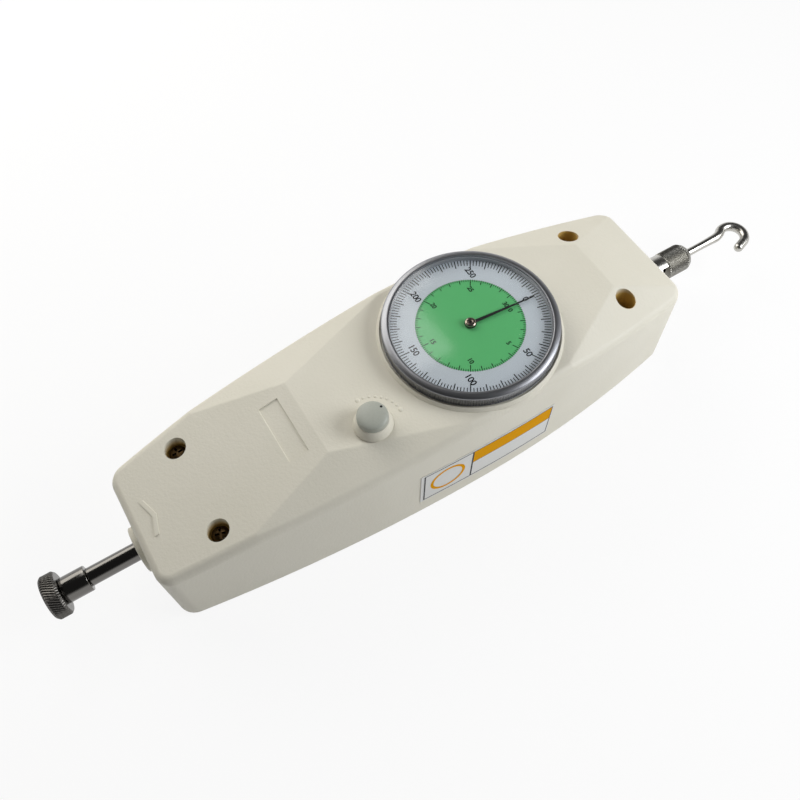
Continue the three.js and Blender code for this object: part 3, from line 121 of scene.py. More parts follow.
def outline(inset):
    """Places round the housing, set in from its wall, each with the wall's outward direction."""
    corner_steps, end_steps, side_steps = 10, 9, 72
    places = []
    for end in (-1, 1):
        centre_x = end * (half_length - corner_radius)
        turn = math.atan(side_slope(centre_x))
        first, last = (math.pi, math.pi / 2 + turn) if end < 0 else (math.pi / 2 + turn, 0)
        touch_x = centre_x + corner_radius * math.cos(math.pi / 2 + turn)
        centre_y = half_width(touch_x) - corner_radius * math.sin(math.pi / 2 + turn)
        corner = []
        for step in range(corner_steps + 1):
            angle = first + (last - first) * step / corner_steps
            outward = Vector((math.cos(angle), math.sin(angle), 0))
            centre = Vector((centre_x, centre_y, 0))
            corner.append((centre + (corner_radius - inset) * outward, outward))
        if end < 0:
            start_x = touch_x
            for step in range(1, end_steps):
                y = centre_y * step / end_steps
                places.append((Vector((-half_length + inset, y, 0)), Vector((-1, 0, 0))))
            places += corner
        else:
            for step in range(1, side_steps):
                x = start_x + (touch_x - start_x) * step / side_steps
                outward = Vector((-side_slope(x), 1, 0)).normalized()
                places.append((Vector((x, half_width(x), 0)) - inset * outward, outward))
            places += corner
            for step in range(end_steps - 1, 0, -1):
                y = centre_y * step / end_steps
                places.append((Vector((half_length - inset, y, 0)), Vector((1, 0, 0))))
    flip = Vector((1, -1, 1))
    return places + [(place * flip, outward * flip) for place, outward in reversed(places)]


def housing_form(ball, low, foot_round):
    """The faceted body with rounded edges: all that a ball fills whose middle stays a rim radius inside
    every facet and wall. The outside takes a ball of the rim's radius, and the cavity a smaller one."""
    inset = rim_radius
    ball_steps, foot_steps, halvings = 8, 3, 30
    planes = [(normal, reach - inset) for normal, reach in facets]

    def top_at(place):
        heights = [(reach - normal.x * place.x - normal.y * place.y) / normal.z for normal, reach in planes]
        lowest = min(heights)
        return lowest, heights.index(lowest)

    corners = []
    rim = outline(inset)
    for index, (place, outward) in enumerate(rim):
        height, active = top_at(place)
        corners.append((Vector((place.x, place.y, height)), [outward, planes[active][0]]))
        following, next_outward = rim[(index + 1) % len(rim)]
        next_active = top_at(following)[1]
        if next_active != active:
            low_share, high_share = 0.0, 1.0
            for _ in range(halvings):
                share = (low_share + high_share) / 2
                if top_at(place.lerp(following, share))[1] == active:
                    low_share = share
                else:
                    high_share = share
            switch = place.lerp(following, low_share)
            between = outward.lerp(next_outward, low_share).normalized()
            normals = [between, planes[active][0], planes[next_active][0]]
            corners.append((Vector((switch.x, switch.y, top_at(switch)[0])), normals))
    for first in range(len(planes)):
        for second in range(first):
            for third in range(second):
                trio = [planes[i] for i in (first, second, third)]
                rows = Matrix([normal for normal, _ in trio])
                if abs(rows.determinant()) < 1e-6:
                    continue
                point = rows.inverted() @ Vector([reach for _, reach in trio])
                inside = abs(point.x) < half_length and abs(point.y) < half_width(point.x) - inset
                if inside and all(normal.dot(point) < reach + 1e-3 for normal, reach in planes):
                    corners.append((point, [normal for normal, _ in trio]))

    bm = bmesh.new()
    for point, normals in corners:
        for i in range(ball_steps + 1):
            for j in range(ball_steps + 1 - i):
                k = ball_steps - i - j
                if len(normals) == 2 and k:
                    continue
                shares = (i, j, k)[:len(normals)]
                direction = sum((share * normal for share, normal in zip(shares, normals)), Vector())
                bm.verts.new(point + ball * direction.normalized())
    for place, outward in rim:
        for step in range(foot_steps + 1 if foot_round else 1):
            angle = math.pi / 2 * step / foot_steps
            reach = ball + foot_round * (math.cos(angle) - 1)
            drop = foot_round * (1 - math.sin(angle)) if foot_round else 0
            spot = place + outward * reach
            bm.verts.new((spot.x, spot.y, low + drop))
    hull = bmesh.ops.convex_hull(bm, input=bm.verts)
    left_over = hull["geom_interior"] + hull["geom_unused"]
    unused = {item for item in left_over if isinstance(item, bmesh.types.BMVert)}
    bmesh.ops.delete(bm, geom=list(unused), context="VERTS")
    bmesh.ops.dissolve_limit(bm, angle_limit=math.radians(0.2), verts=bm.verts, edges=bm.edges)
    bmesh.ops.recalc_face_normals(bm, faces=bm.faces)
    return bm


def lathe(profile, steps=96, closed=False):
    """A turned form about the Z axis from (radius, height) points in millimetres."""
    bm = bmesh.new()
    points = [bm.verts.new((radius, 0, height)) for radius, height in profile]
    pairs = list(zip(points, points[1:]))
    if closed:
        pairs.append((points[-1], points[0]))
    lines = [bm.edges.new(pair) for pair in pairs]
    bmesh.ops.spin(
        bm, geom=points + lines, axis=(0, 0, 1), cent=(0, 0, 0), dvec=(0, 0, 0),
        angle=2 * math.pi, steps=steps, use_merge=True,
    )
    bmesh.ops.remove_doubles(bm, verts=bm.verts, dist=1e-5)
    bmesh.ops.recalc_face_normals(bm, faces=bm.faces)
    return bm


def prism(spots, low, high):
    """A flat outline made solid between two heights."""
    bm = bmesh.new()
    flat = bm.faces.new([bm.verts.new((x, y, low)) for x, y in spots])
    raised = bmesh.ops.extrude_face_region(bm, geom=[flat])["geom"]
    top = [item for item in raised if isinstance(item, bmesh.types.BMVert)]
    bmesh.ops.translate(bm, vec=(0, 0, high - low), verts=top)
    bmesh.ops.recalc_face_normals(bm, faces=bm.faces)
    return bm


def post(radius, low, high, steps=48):
    """A round bar upright on the Z axis."""
    return lathe([(0, low), (radius, low), (radius, high), (0, high)], steps)


def moved(bm, x=0.0, y=0.0, z=0.0):
    """The form, shifted."""
    bmesh.ops.translate(bm, vec=(x, y, z), verts=bm.verts)
    return bm


def turned(bm, degrees, axis):
    """The form, turned about an axis through the origin."""
    turn = Matrix.Rotation(math.radians(degrees), 3, axis)
    bmesh.ops.rotate(bm, cent=(0, 0, 0), matrix=turn, verts=bm.verts)
    return bm


def softened(bm, width, segments=3, least=30):
    """The form with its sharp edges rounded."""
    sharp = [
        edge for edge in bm.edges
        if len(edge.link_faces) == 2 and edge.calc_face_angle() > math.radians(least)
    ]
    bmesh.ops.bevel(
        bm, geom=sharp, offset=width, offset_type="OFFSET", affect="EDGES", segments=segments,
        profile=0.5, material=-1, clamp_overlap=True,
    )
    return bm


def gathered(forms):
    """Several forms in one, none of them touching another."""
    whole = bmesh.new()
    for bm in forms:
        mesh = bpy.data.meshes.new("form")
        bm.to_mesh(mesh)
        bm.free()
        whole.from_mesh(mesh)
        bpy.data.meshes.remove(mesh)
    return whole


def combined(form, tool, operation):
    """Two closed forms joined, or one cut by the other."""
    pair = []
    for bm in (form, tool):
        mesh = bpy.data.meshes.new("form")
        bm.to_mesh(mesh)
        bm.free()
        pair.append(bpy.data.objects.new("form", mesh))
        bpy.context.collection.objects.link(pair[-1])
    cut = pair[0].modifiers.new("cut", "BOOLEAN")
    cut.object = pair[1]
    cut.operation = operation
    cut.solver = "MANIFOLD"
    evaluated = pair[0].evaluated_get(bpy.context.evaluated_depsgraph_get())
    result = bmesh.new()
    result.from_mesh(evaluated.to_mesh())
    evaluated.to_mesh_clear()
    for item in pair:
        mesh = item.data
        bpy.data.objects.remove(item)
        bpy.data.meshes.remove(mesh)
    return result


def finished(name, bm, *materials, least=30):
    """A form in millimetres made an object in metres, smooth but for its sharp edges."""
    bmesh.ops.scale(bm, vec=(MM, MM, MM), verts=bm.verts)
    mesh = bpy.data.meshes.new(name)
    bm.to_mesh(mesh)
    bm.free()
    for material in materials:
        mesh.materials.append(material)
    mesh.shade_smooth()
    mesh.set_sharp_from_angle(angle=math.radians(least))
    piece = bpy.data.objects.new(name, mesh)
    bpy.context.collection.objects.link(piece)
    return piece


def linear(code):
    """A colour's linear values from its sRGB hex code."""
    channels = [int(code[i:i + 2], 16) / 255 for i in (1, 3, 5)]
    return tuple(c / 12.92 if c <= 0.04045 else ((c + 0.055) / 1.055) ** 2.4 for c in channels) + (1.0,)


def add_node(tree, kind, settings, links=None):
    """One node with its settings and the sockets that feed it."""
    node = tree.nodes.new(kind)
    for name, value in settings.items():
        if isinstance(name, str) and hasattr(node, name):
            setattr(node, name, value)
        else:
            node.inputs[name].default_value = value
    for name, source in (links or {}).items():
        tree.links.new(source, node.inputs[name])
    return node


def new_finish(name, code, roughness, metallic=0.0):
    """A material with its shader's plain settings, its tree and its shader."""
    material = bpy.data.materials.new(name)
    material.use_nodes = True
    material.diffuse_color = linear(code)
    shader = material.node_tree.nodes["Principled BSDF"]
    shader.inputs["Base Color"].default_value = linear(code)
    shader.inputs["Roughness"].default_value = roughness
    shader.inputs["Metallic"].default_value = metallic
    return material, material.node_tree, shader


# Moulded ABS with a spark-eroded grain: pale ivory, half matt, with a fine pebbled surface. The grain
# is 0.45 mm on pebbles of 0.9 mm, a little coarser than real so that it shows, and the tone changes
# slowly over 22 mm.
ivory_abs, tree, shader = new_finish("moulded_ivory_abs", "#e0dccd", 0.5)
place = add_node(tree, "ShaderNodeTexCoord", {}).outputs["Object"]
fine = {"Scale": 1 / (0.45 * MM), "Detail": 2.0, "Roughness": 0.55}
grain = add_node(tree, "ShaderNodeTexNoise", fine, {"Vector": place})
coarse = {"feature": "SMOOTH_F1", "Scale": 1 / (0.9 * MM)}
pebbles = add_node(tree, "ShaderNodeTexVoronoi", coarse, {"Vector": place})
heights = {0: grain.outputs["Fac"], 1: pebbles.outputs["Distance"]}
both = add_node(tree, "ShaderNodeMath", {"operation": "ADD"}, heights)
relief = {"Strength": 0.5, "Distance": 0.08 * MM}
bump = add_node(tree, "ShaderNodeBump", relief, {"Height": both.outputs[0]})
waves = add_node(tree, "ShaderNodeTexNoise", {"Scale": 1 / (22 * MM), "Detail": 3.0}, {"Vector": place})
tones = {"data_type": "RGBA", 6: linear("#e4e0d2"), 7: linear("#dbd7c7")}
tone = add_node(tree, "ShaderNodeMix", tones, {0: waves.outputs["Fac"]})
gloss = {"To Min": 0.44, "To Max": 0.58}
sheen = add_node(tree, "ShaderNodeMapRange", gloss, {"Value": grain.outputs["Fac"]})

# Painted shade in the screw wells: deep down, the ivory is painted a more golden tone that stands in for the
# light bounced about inside the wells. The tone fades out at the wells' rims and towards their mouths, which
# lie lower at the push end.
well_shade_reach, plain_reach = 3.52, 3.7
well_shade_z, plain_z, push_end_drop = 39.6, 42.4, 7.4
mirrored = add_node(tree, "ShaderNodeVectorMath", {"operation": "ABSOLUTE"}, {0: place})
flatten = {"operation": "MULTIPLY", 1: (1, 1, 0)}
level = add_node(tree, "ShaderNodeVectorMath", flatten, {0: mirrored.outputs[0]})
spot = (well_x * MM, well_y * MM, 0)
reach = add_node(tree, "ShaderNodeVectorMath", {"operation": "DISTANCE", 1: spot}, {0: level.outputs[0]})
edge = {"From Min": well_shade_reach * MM, "From Max": plain_reach * MM, "To Min": 1.0, "To Max": 0.0}
inside = add_node(tree, "ShaderNodeMapRange", edge, {"Value": reach.outputs["Value"]})
parts = add_node(tree, "ShaderNodeSeparateXYZ", {}, {0: place})
ends = {"From Min": -MM, "From Max": MM, "To Min": push_end_drop * MM, "To Max": 0.0}
drop = add_node(tree, "ShaderNodeMapRange", ends, {"Value": parts.outputs[0]})
heights = {0: parts.outputs[2], 1: drop.outputs["Result"]}
height = add_node(tree, "ShaderNodeMath", {"operation": "ADD"}, heights)
fade = {"From Min": well_shade_z * MM, "From Max": plain_z * MM, "To Min": 1.0, "To Max": 0.0}
depth = add_node(tree, "ShaderNodeMapRange", fade, {"Value": height.outputs[0]})
shares = {0: inside.outputs["Result"], 1: depth.outputs["Result"]}
well_shade_share = add_node(tree, "ShaderNodeMath", {"operation": "MULTIPLY"}, shares)
# The painted well shade: a deeper golden ivory mixed in by the share above.
painted_well_shade = {"data_type": "RGBA", 7: linear("#c9a95f")}
tone = add_node(tree, "ShaderNodeMix", painted_well_shade, {0: well_shade_share.outputs[0], 6: tone.outputs[2]})
tree.links.new(tone.outputs[2], shader.inputs["Base Color"])
tree.links.new(sheen.outputs["Result"], shader.inputs["Roughness"])
tree.links.new(bump.outputs["Normal"], shader.inputs["Normal"])

# Solid posts are left round the wells and the knob's hole. What is cut through the top or the foot is
# carried on to over_top, or under_foot further down.
well_places = [(-well_x, well_y), (-well_x, -well_y), (well_x, well_y), (well_x, -well_y)]
over_top, under_foot = 50, 1
post_radius, post_z = 5.2, 28.6
knob_post_radius, knob_post_z = 4.5, 38
foot_radius = 1.0
kept = [moved(post(post_radius, post_z, over_top), x, y) for x, y in well_places]
kept.append(moved(post(knob_post_radius, knob_post_z, over_top), knob_x, knob_y))
cavity = combined(housing_form(rim_radius - wall, foot - under_foot, 0), gathered(kept), "DIFFERENCE")
shell = combined(housing_form(rim_radius, foot, foot_radius), cavity, "DIFFERENCE")
collar_in, collar_out, collar_low, collar_high, seat_z = 24, 30.0, 41.1, 44.65, 43.7
collar = lathe([
    (collar_in, collar_low), (collar_out, collar_low), (collar_out, 43.6), (29.75, 43.9), (29.4, 44.45),
    (29.25, 44.6), (29.05, collar_high), (28.95, 44.6), (28.9, 44.5), (28.9, seat_z), (collar_in, seat_z),
], 180, closed=True)
shell = combined(shell, moved(collar, dial_x), "UNION")

# The push facet has a shallow panel, and a plain raised double arrow shows which way to push.
push_tilt = -math.degrees(math.atan(push_slope))


def on_push_facet(bm, x, y):
    """A form drawn about the origin, laid on the push facet."""
    return moved(turned(bm, push_tilt, "Y"), x, y, facet_z + push_slope * (x - push_fold_x))


panel_size, panel_edge, panel_x, panel_y = (6.8, 21, 0.8), 0.25, -43.8, 0.6
panel = bmesh.new()
bmesh.ops.create_cube(panel, size=1)
bmesh.ops.scale(panel, vec=panel_size, verts=panel.verts)
cuts = [on_push_facet(softened(panel, panel_edge, 2), panel_x, panel_y)]
dial_cut_low, dial_cut_high = 38, 47
cuts.append(moved(post(dial_bore, dial_cut_low, dial_cut_high, 144), dial_x))
knob_bore, knob_cut_low, knob_cut_high = 2.65, 36, 46
cuts.append(moved(post(knob_bore, knob_cut_low, knob_cut_high), knob_x, knob_y))
screw_bore, screw_bore_z = 1.65, 24
well = [
    (0, screw_bore_z), (screw_bore, screw_bore_z), (screw_bore, well_z), (well_radius, well_z),
    (well_radius, over_top), (0, over_top),
]
cuts += [moved(lathe(well, 48), x, y) for x, y in well_places]
nose_bore, nose_reach = 6.75, 5
for x in (-half_length, half_length):
    cuts.append(moved(turned(post(nose_bore, -nose_reach, nose_reach, 64), 90, "Y"), x, 0, shaft_z))
shell = combined(shell, gathered(cuts), "DIFFERENCE")
tip, half, stem, arrow_rise, arrow_edge, arrow_x = 1.7, 6.25, 1.5, 0.3, 0.12, -89.6
arrow = [(-tip, -half), (stem - tip, -half), (tip, 0), (stem - tip, half), (-tip, half), (tip - stem, 0)]
arrow = prism(arrow, -arrow_rise, arrow_rise)
marks = [on_push_facet(softened(arrow, arrow_edge, 2), arrow_x, 0)]

# Round the knob, from one of its places to the other, runs a faint arc of raised dots. The first and
# the last are larger.
dot_arc, dot_turn, last_dot, dot_radius, end_dot_radius, dot_rise_share = 9.6, 11.25, 8, 0.5, 0.75, 0.4
for step in range(last_dot + 1):
    angle = math.radians(dot_turn * step)
    pip = bmesh.new()
    radius = end_dot_radius if step in (0, last_dot) else dot_radius
    bmesh.ops.create_uvsphere(pip, u_segments=16, v_segments=8, radius=radius)
    bmesh.ops.scale(pip, vec=(1, 1, dot_rise_share), verts=pip.verts)
    marks.append(moved(pip, knob_x + dot_arc * math.cos(angle), knob_y + dot_arc * math.sin(angle), facet_z))
shell = combined(shell, gathered(marks), "UNION")
bmesh.ops.remove_doubles(shell, verts=shell.verts, dist=1e-4)
housing = finished("housing_shell", shell, ivory_abs, least=32)
housing.modifiers.new("flat_faces_flat", "WEIGHTED_NORMAL").keep_sharp = True
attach(housing, "housing")
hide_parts("front_housing")


# Rear cover: a flat moulding of the same ivory ABS that closes the back, with the posts for the
# screws. It keeps its solid's shape.
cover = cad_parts["rear_cover"]
cover.data.materials.clear()
cover.data.materials.append(ivory_abs)


# Cover screws: M3 cross-head machine screws at the bottom of the wells, passivated to a dark bronze
# with stains of about 1.2 mm.
screw_bronze, tree, shader = new_finish("passivated_bronze_steel", "#3f3220", 0.3, 1.0)
place = add_node(tree, "ShaderNodeTexCoord", {}).outputs["Object"]
stains = add_node(tree, "ShaderNodeTexNoise", {"Scale": 1 / (1.2 * MM), "Detail": 3.0}, {"Vector": place})
tones = {"data_type": "RGBA", 6: linear("#2e2416"), 7: linear("#54422a")}
tone = add_node(tree, "ShaderNodeMix", tones, {0: stains.outputs["Fac"]})
tree.links.new(tone.outputs[2], shader.inputs["Base Color"])
thread_radius, thread_end, head_radius, head_low, head_high = 1.5, 13.1, 2.8, 31.1, 33.1
profile = [
    (0, thread_end), (thread_radius, thread_end), (thread_radius, head_low), (head_radius, head_low),
    (head_radius, 32.3), (2.4, 32.75), (1.7, 33.0), (0, head_high),
]
arm, half, cross_low, cross_high = 1.7, 0.38, 32.0, 34.0
cross = [(arm, -half), (arm, half), (half, half), (half, arm), (-half, arm), (-half, half)]
cross += [(-x, -y) for x, y in cross]
first_turn, next_turn = 25, 70
for number, (x, y) in enumerate(well_places, 1):
    head = combined(lathe(profile, 40), prism(cross, cross_low, cross_high), "DIFFERENCE")
    head = moved(turned(head, first_turn + next_turn * number, "Z"), x, y)
    screw = finished(f"well_screw_{number}", head, screw_bronze)
    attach(screw, "housing")
    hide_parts(f"cover_screw_{number}")


# Nose bushes: low round bosses of ivory ABS that line the holes in the end walls, pressed in from
# outside, with clearance for the rod and the coupling.
bush_radius, bush_end, lip_radius, lip_low, lip_high = 6.6, -4.5, 7.7, 0.1, 2.3
mouth, mouth_low, lip_edge = 1.0, 1.2, 0.9
for name, end, bore in (("push", -1, 3.15), ("pull", 1, 5.15)):
    boss = lathe([
        (bore, bush_end), (bush_radius, bush_end), (bush_radius, lip_low), (lip_radius, lip_low),
        (lip_radius, lip_high), (bore + mouth, lip_high), (bore, mouth_low),
    ], 72, closed=True)
    boss = turned(softened(boss, lip_edge, 4), 90 * end, "Y")
    bush = finished(f"{name}_nose", moved(boss, end * half_length, 0, shaft_z), ivory_abs)
    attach(bush, "housing")
    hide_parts(f"{name}_nose_bush")


# Push side: a ground steel rod with a thicker collar screwed on it and a flat knurled disc at its end.
# Ground and polished steel: dark, mirror-like, with hair-fine turning marks round the axis.
polished_steel, tree, shader = new_finish("ground_polished_steel", "#706e6b", 0.17, 1.0)
place = add_node(tree, "ShaderNodeTexCoord", {}).outputs["Object"]
rings = (1 / (0.25 * MM), 1 / (20 * MM), 1 / (20 * MM))
along = add_node(tree, "ShaderNodeMapping", {"Scale": rings}, {"Vector": place})
marks = add_node(tree, "ShaderNodeTexNoise", {"Scale": 1.0, "Detail": 3.0}, {"Vector": along.outputs[0]})
relief = {"Strength": 0.12, "Distance": 0.02 * MM}
bump = add_node(tree, "ShaderNodeBump", relief, {"Height": marks.outputs["Fac"]})
gloss = {"To Min": 0.1, "To Max": 0.24}
sheen = add_node(tree, "ShaderNodeMapRange", gloss, {"Value": marks.outputs["Fac"]})
tree.links.new(sheen.outputs["Result"], shader.inputs["Roughness"])
tree.links.new(bump.outputs["Normal"], shader.inputs["Normal"])

rod_radius, rod_start, rod_end, rod_edge, stud_radius, stud_start = 3, -115.3, 104, 0.25, 2.2, -121.3
rod = lathe([
    (0, stud_start), (stud_radius, stud_start), (stud_radius, rod_start), (rod_radius, rod_start),
    (rod_radius, rod_end), (0, rod_end),
], 64)
rod = moved(turned(softened(rod, rod_edge), 90, "Y"), z=shaft_z)
rod = finished("push_rod", rod, polished_steel)
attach(rod, "shaft")
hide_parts("main_shaft")

sleeve_radius, sleeve_start, sleeve_end, sleeve_edge = 4.25, -123.5, -115.4, 0.3
sleeve_stud, stud_bore, bore_start = -126.1, 2.35, -121.5
sleeve = lathe([
    (0, sleeve_stud), (stud_radius, sleeve_stud), (stud_radius, sleeve_start), (sleeve_radius, sleeve_start),
    (sleeve_radius, sleeve_end), (stud_bore, sleeve_end), (stud_bore, bore_start), (0, bore_start),
], 64)
sleeve = moved(turned(softened(sleeve, sleeve_edge), 90, "Y"), z=shaft_z)
sleeve = finished("push_collar", sleeve, polished_steel)
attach(sleeve, "shaft")
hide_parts("push_adapter")

# Push disc: turned steel with a rolled knurl, a little rougher and darker than the ground rod.
knurled_steel, tree, shader = new_finish("rolled_knurl_steel", "#5c5a57", 0.3, 1.0)
place = add_node(tree, "ShaderNodeTexCoord", {}).outputs["Object"]
wear = add_node(tree, "ShaderNodeTexNoise", {"Scale": 1 / (0.8 * MM), "Detail": 4.0}, {"Vector": place})
gloss = {"To Min": 0.18, "To Max": 0.36}
sheen = add_node(tree, "ShaderNodeMapRange", gloss, {"Value": wear.outputs["Fac"]})
relief = {"Strength": 0.1, "Distance": 0.02 * MM}
bump = add_node(tree, "ShaderNodeBump", relief, {"Height": wear.outputs["Fac"]})
tree.links.new(sheen.outputs["Result"], shader.inputs["Roughness"])
tree.links.new(bump.outputs["Normal"], shader.inputs["Normal"])


def knurled(bm, low, high, radius, depth, teeth, lean=0.0):
    """Rolls grooves into the outside of a turned form between two heights. Lean is turns per millimetre."""
    skin = 0.05
    for vert in bm.verts:
        reach = math.hypot(vert.co.x, vert.co.y)
        if not (low < vert.co.z < high and reach > radius - skin):
            continue
        turn = math.atan2(vert.co.y, vert.co.x) / (2 * math.pi) + lean * vert.co.z
        groove = abs((teeth * turn) % 1.0 - 0.5) * 2
        share = (reach - depth * groove) / reach
        vert.co.x *= share
        vert.co.y *= share
    return bm


def rows(low, high, count):
    """Evenly spaced heights between two, both counted in."""
    return [low + (high - low) * step / count for step in range(count + 1)]


disc_radius, disc_low, disc_high, disc_edge, disc_bore_depth = 7.3, -128.4, -123.6, 0.7, 2.8
disc_teeth, disc_groove, knurl_lean, knurl_margin = 52, 0.32, -0.012, 0.1
rim = [(disc_radius, height) for height in rows(disc_low + disc_edge, disc_high - disc_edge, 10)]
disc = lathe([
    (0, disc_low), (disc_radius - disc_edge, disc_low), *rim, (disc_radius - disc_edge, disc_high),
    (stud_bore, disc_high), (stud_bore, disc_high - disc_bore_depth), (0, disc_high - disc_bore_depth),
], disc_teeth * 8)
knurl_low, knurl_high = disc_low + disc_edge - knurl_margin, disc_high - disc_edge + knurl_margin
disc = knurled(disc, knurl_low, knurl_high, disc_radius, disc_groove, disc_teeth, knurl_lean)
disc = finished("push_head", moved(turned(disc, 90, "Y"), z=shaft_z), knurled_steel, least=40)
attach(disc, "shaft")
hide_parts("push_disc")


# Pull side: a turned coupling with one wrench flat, a knurled nut and a hook bent from round wire.
# Bright nickel plating: paler than the ground rod, with slow clouds of 3 mm in its gloss.
plated_steel, tree, shader = new_finish("bright_nickel_plate", "#c0beb8", 0.26, 1.0)
place = add_node(tree, "ShaderNodeTexCoord", {}).outputs["Object"]
cloud = add_node(tree, "ShaderNodeTexNoise", {"Scale": 1 / (3 * MM), "Detail": 2.0}, {"Vector": place})
gloss = {"To Min": 0.2, "To Max": 0.34}
sheen = add_node(tree, "ShaderNodeMapRange", gloss, {"Value": cloud.outputs["Fac"]})
tree.links.new(sheen.outputs["Result"], shader.inputs["Roughness"])

neck_radius, neck_start, neck_end, neck_edge, neck_stud = 5, 88, 110.3, 0.35, 115.7
coupling = lathe([
    (0, neck_start), (neck_radius, neck_start), (neck_radius, neck_end), (stud_radius, neck_end),
    (stud_radius, neck_stud), (0, neck_stud),
], 72)
coupling = turned(softened(coupling, neck_edge), 90, "Y")
flat_size, flat_x, flat_z, flat_turn = (5.7, 12, 6), 109.95, -4, -64
flat = bmesh.new()
bmesh.ops.create_cube(flat, size=1)
bmesh.ops.scale(flat, vec=flat_size, verts=flat.verts)
flat = turned(moved(flat, flat_x, 0, flat_z), flat_turn, "X")
coupling = combined(coupling, flat, "DIFFERENCE")
coupling = finished("hook_coupling", moved(coupling, z=shaft_z), plated_steel)
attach(coupling, "shaft")
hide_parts("pull_coupling")

# Dull nickel plating on the nut: darker where dirt stays in its knurl, in patches of 1.2 mm.
nut_steel, tree, shader = new_finish("dull_nickel_plate", "#8b8983", 0.3, 1.0)
place = add_node(tree, "ShaderNodeTexCoord", {}).outputs["Object"]
grime = add_node(tree, "ShaderNodeTexNoise", {"Scale": 1 / (1.2 * MM), "Detail": 2.0}, {"Vector": place})
tones = {"data_type": "RGBA", 6: linear("#77756f"), 7: linear("#9e9c95")}
tone = add_node(tree, "ShaderNodeMix", tones, {0: grime.outputs["Fac"]})
tree.links.new(tone.outputs[2], shader.inputs["Base Color"])
nut_radius, nut_low, nut_knurl, nut_edge, nut_teeth, nut_groove = 5.15, 110.4, 119.1, 0.4, 40, 0.46
nut_thread, thread_end, wire_bore = 2.3, 118.4, 1.55
rim = [(nut_radius, height) for height in rows(nut_low + nut_edge, nut_knurl, 28)]
nut = lathe([
    (nut_thread, nut_low), (nut_radius - nut_edge, nut_low), *rim, (4.95, 119.4), (4.35, 120.5), (3.4, 121.4),
    (2.2, 121.9), (1.6, 122.0), (wire_bore, 121.8), (wire_bore, thread_end), (nut_thread, thread_end),
], nut_teeth * 10, closed=True)
knurl_low, knurl_high = nut_low + nut_edge - knurl_margin, nut_knurl + knurl_margin
nut = knurled(nut, knurl_low, knurl_high, nut_radius, nut_groove, nut_teeth, knurl_lean)
nut = finished("hook_knurled_nut", moved(turned(nut, 90, "Y"), z=shaft_z), nut_steel, least=40)
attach(nut, "shaft")
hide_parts("hook_nut")

# The hook's wire runs straight out of the nut, bends aside and comes round in the loop. Past swell_x
# it grows a fifth thicker, and its tip is round.
wire, swell, swell_x, swell_run, straight_low = 1.45, 0.2, 131, 6, -0.1
bend_x, bend_radius, bend_degrees = 135.7, 8, 30
path = [(x, 0) for x in (116.3, 118, 122, 126, 130, 133, bend_x)]
for step in range(1, 9):
    angle = math.radians(bend_degrees) * step / 8
    path.append((bend_x + bend_radius * math.sin(angle), bend_radius * (1 - math.cos(angle))))
loop_x, loop_y, loop_radius, loop_start, loop_degrees = 142.4, -2.6, 4.7, 120, 194
for step in range(0, 41):
    angle = math.radians(loop_start - loop_degrees * step / 40)
    path.append((loop_x + loop_radius * math.cos(angle), loop_y + loop_radius * math.sin(angle)))
last, before = Vector(path[-1]), Vector(path[-2])
onward = (last - before).normalized()
tip_step, least_share = 0.75, 0.02
for step in range(1, 5):
    path.append(tuple(last + onward * tip_step * step))
reaches = []
for x, y in path:
    share = min(max((x - swell_x) / swell_run, 0), 1) if y > straight_low else 1
    reaches.append(1 + swell * share)
last = Vector(path[-1])
for step in range(1, 7):
    angle = math.pi / 2 * step / 6
    spot = last + onward * (1 + swell) * wire * math.sin(angle)
    path.append((spot.x, spot.y))
    reaches.append((1 + swell) * max(math.cos(angle), least_share))
curve = bpy.data.curves.new("hook_wire", "CURVE")
curve.dimensions = "3D"
curve.bevel_depth = wire
curve.bevel_resolution = 8
curve.use_fill_caps = True
line = curve.splines.new("POLY")
line.points.add(len(path) - 1)
for point, (x, y), reach in zip(line.points, path, reaches):
    point.co = (x, y, shaft_z, 1)
    point.radius = reach
drawn = bpy.data.objects.new("hook_wire", curve)
bpy.context.collection.objects.link(drawn)
bpy.context.view_layer.update()
bent = bmesh.new()
bent.from_mesh(drawn.evaluated_get(bpy.context.evaluated_depsgraph_get()).to_mesh())
bpy.data.objects.remove(drawn)
bmesh.ops.remove_doubles(bent, verts=bent.verts, dist=1e-4)
bmesh.ops.recalc_face_normals(bent, faces=bent.faces)
hook = finished("wire_hook", bent, plated_steel, least=50)
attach(hook, "shaft")
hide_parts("hook")


# Dial head: a carrier tube turns in the collar and carries the bezel, the window and the printed face.
# Bezel: a turned ring of satin steel with a rounded rim and a straight knurl on its side, drawn a little
# coarse so that it shows. Its turning marks run round the axis.
bezel_steel, tree, shader = new_finish("satin_turned_steel", "#909195", 0.36, 1.0)
place = add_node(tree, "ShaderNodeTexCoord", {}).outputs["Object"]
centred = add_node(tree, "ShaderNodeMapping", {"Location": (-dial_x * MM, 0, 0)}, {"Vector": place})
parts = add_node(tree, "ShaderNodeSeparateXYZ", {}, {0: centred.outputs[0]})
level = add_node(tree, "ShaderNodeCombineXYZ", {}, {0: parts.outputs[0], 1: parts.outputs[1]})
radius = add_node(tree, "ShaderNodeVectorMath", {"operation": "LENGTH"}, {0: level.outputs[0]})
ringed = add_node(tree, "ShaderNodeCombineXYZ", {}, {0: radius.outputs["Value"], 2: parts.outputs[2]})
fine = {"Scale": 1 / (0.2 * MM), "Detail": 2.0}
marks = add_node(tree, "ShaderNodeTexNoise", fine, {"Vector": ringed.outputs[0]})
gloss = {"To Min": 0.3, "To Max": 0.44}
sheen = add_node(tree, "ShaderNodeMapRange", gloss, {"Value": marks.outputs["Fac"]})
relief = {"Strength": 0.08, "Distance": 0.02 * MM}
bump = add_node(tree, "ShaderNodeBump", relief, {"Height": marks.outputs["Fac"]})
tree.links.new(sheen.outputs["Result"], shader.inputs["Roughness"])
tree.links.new(bump.outputs["Normal"], shader.inputs["Normal"])

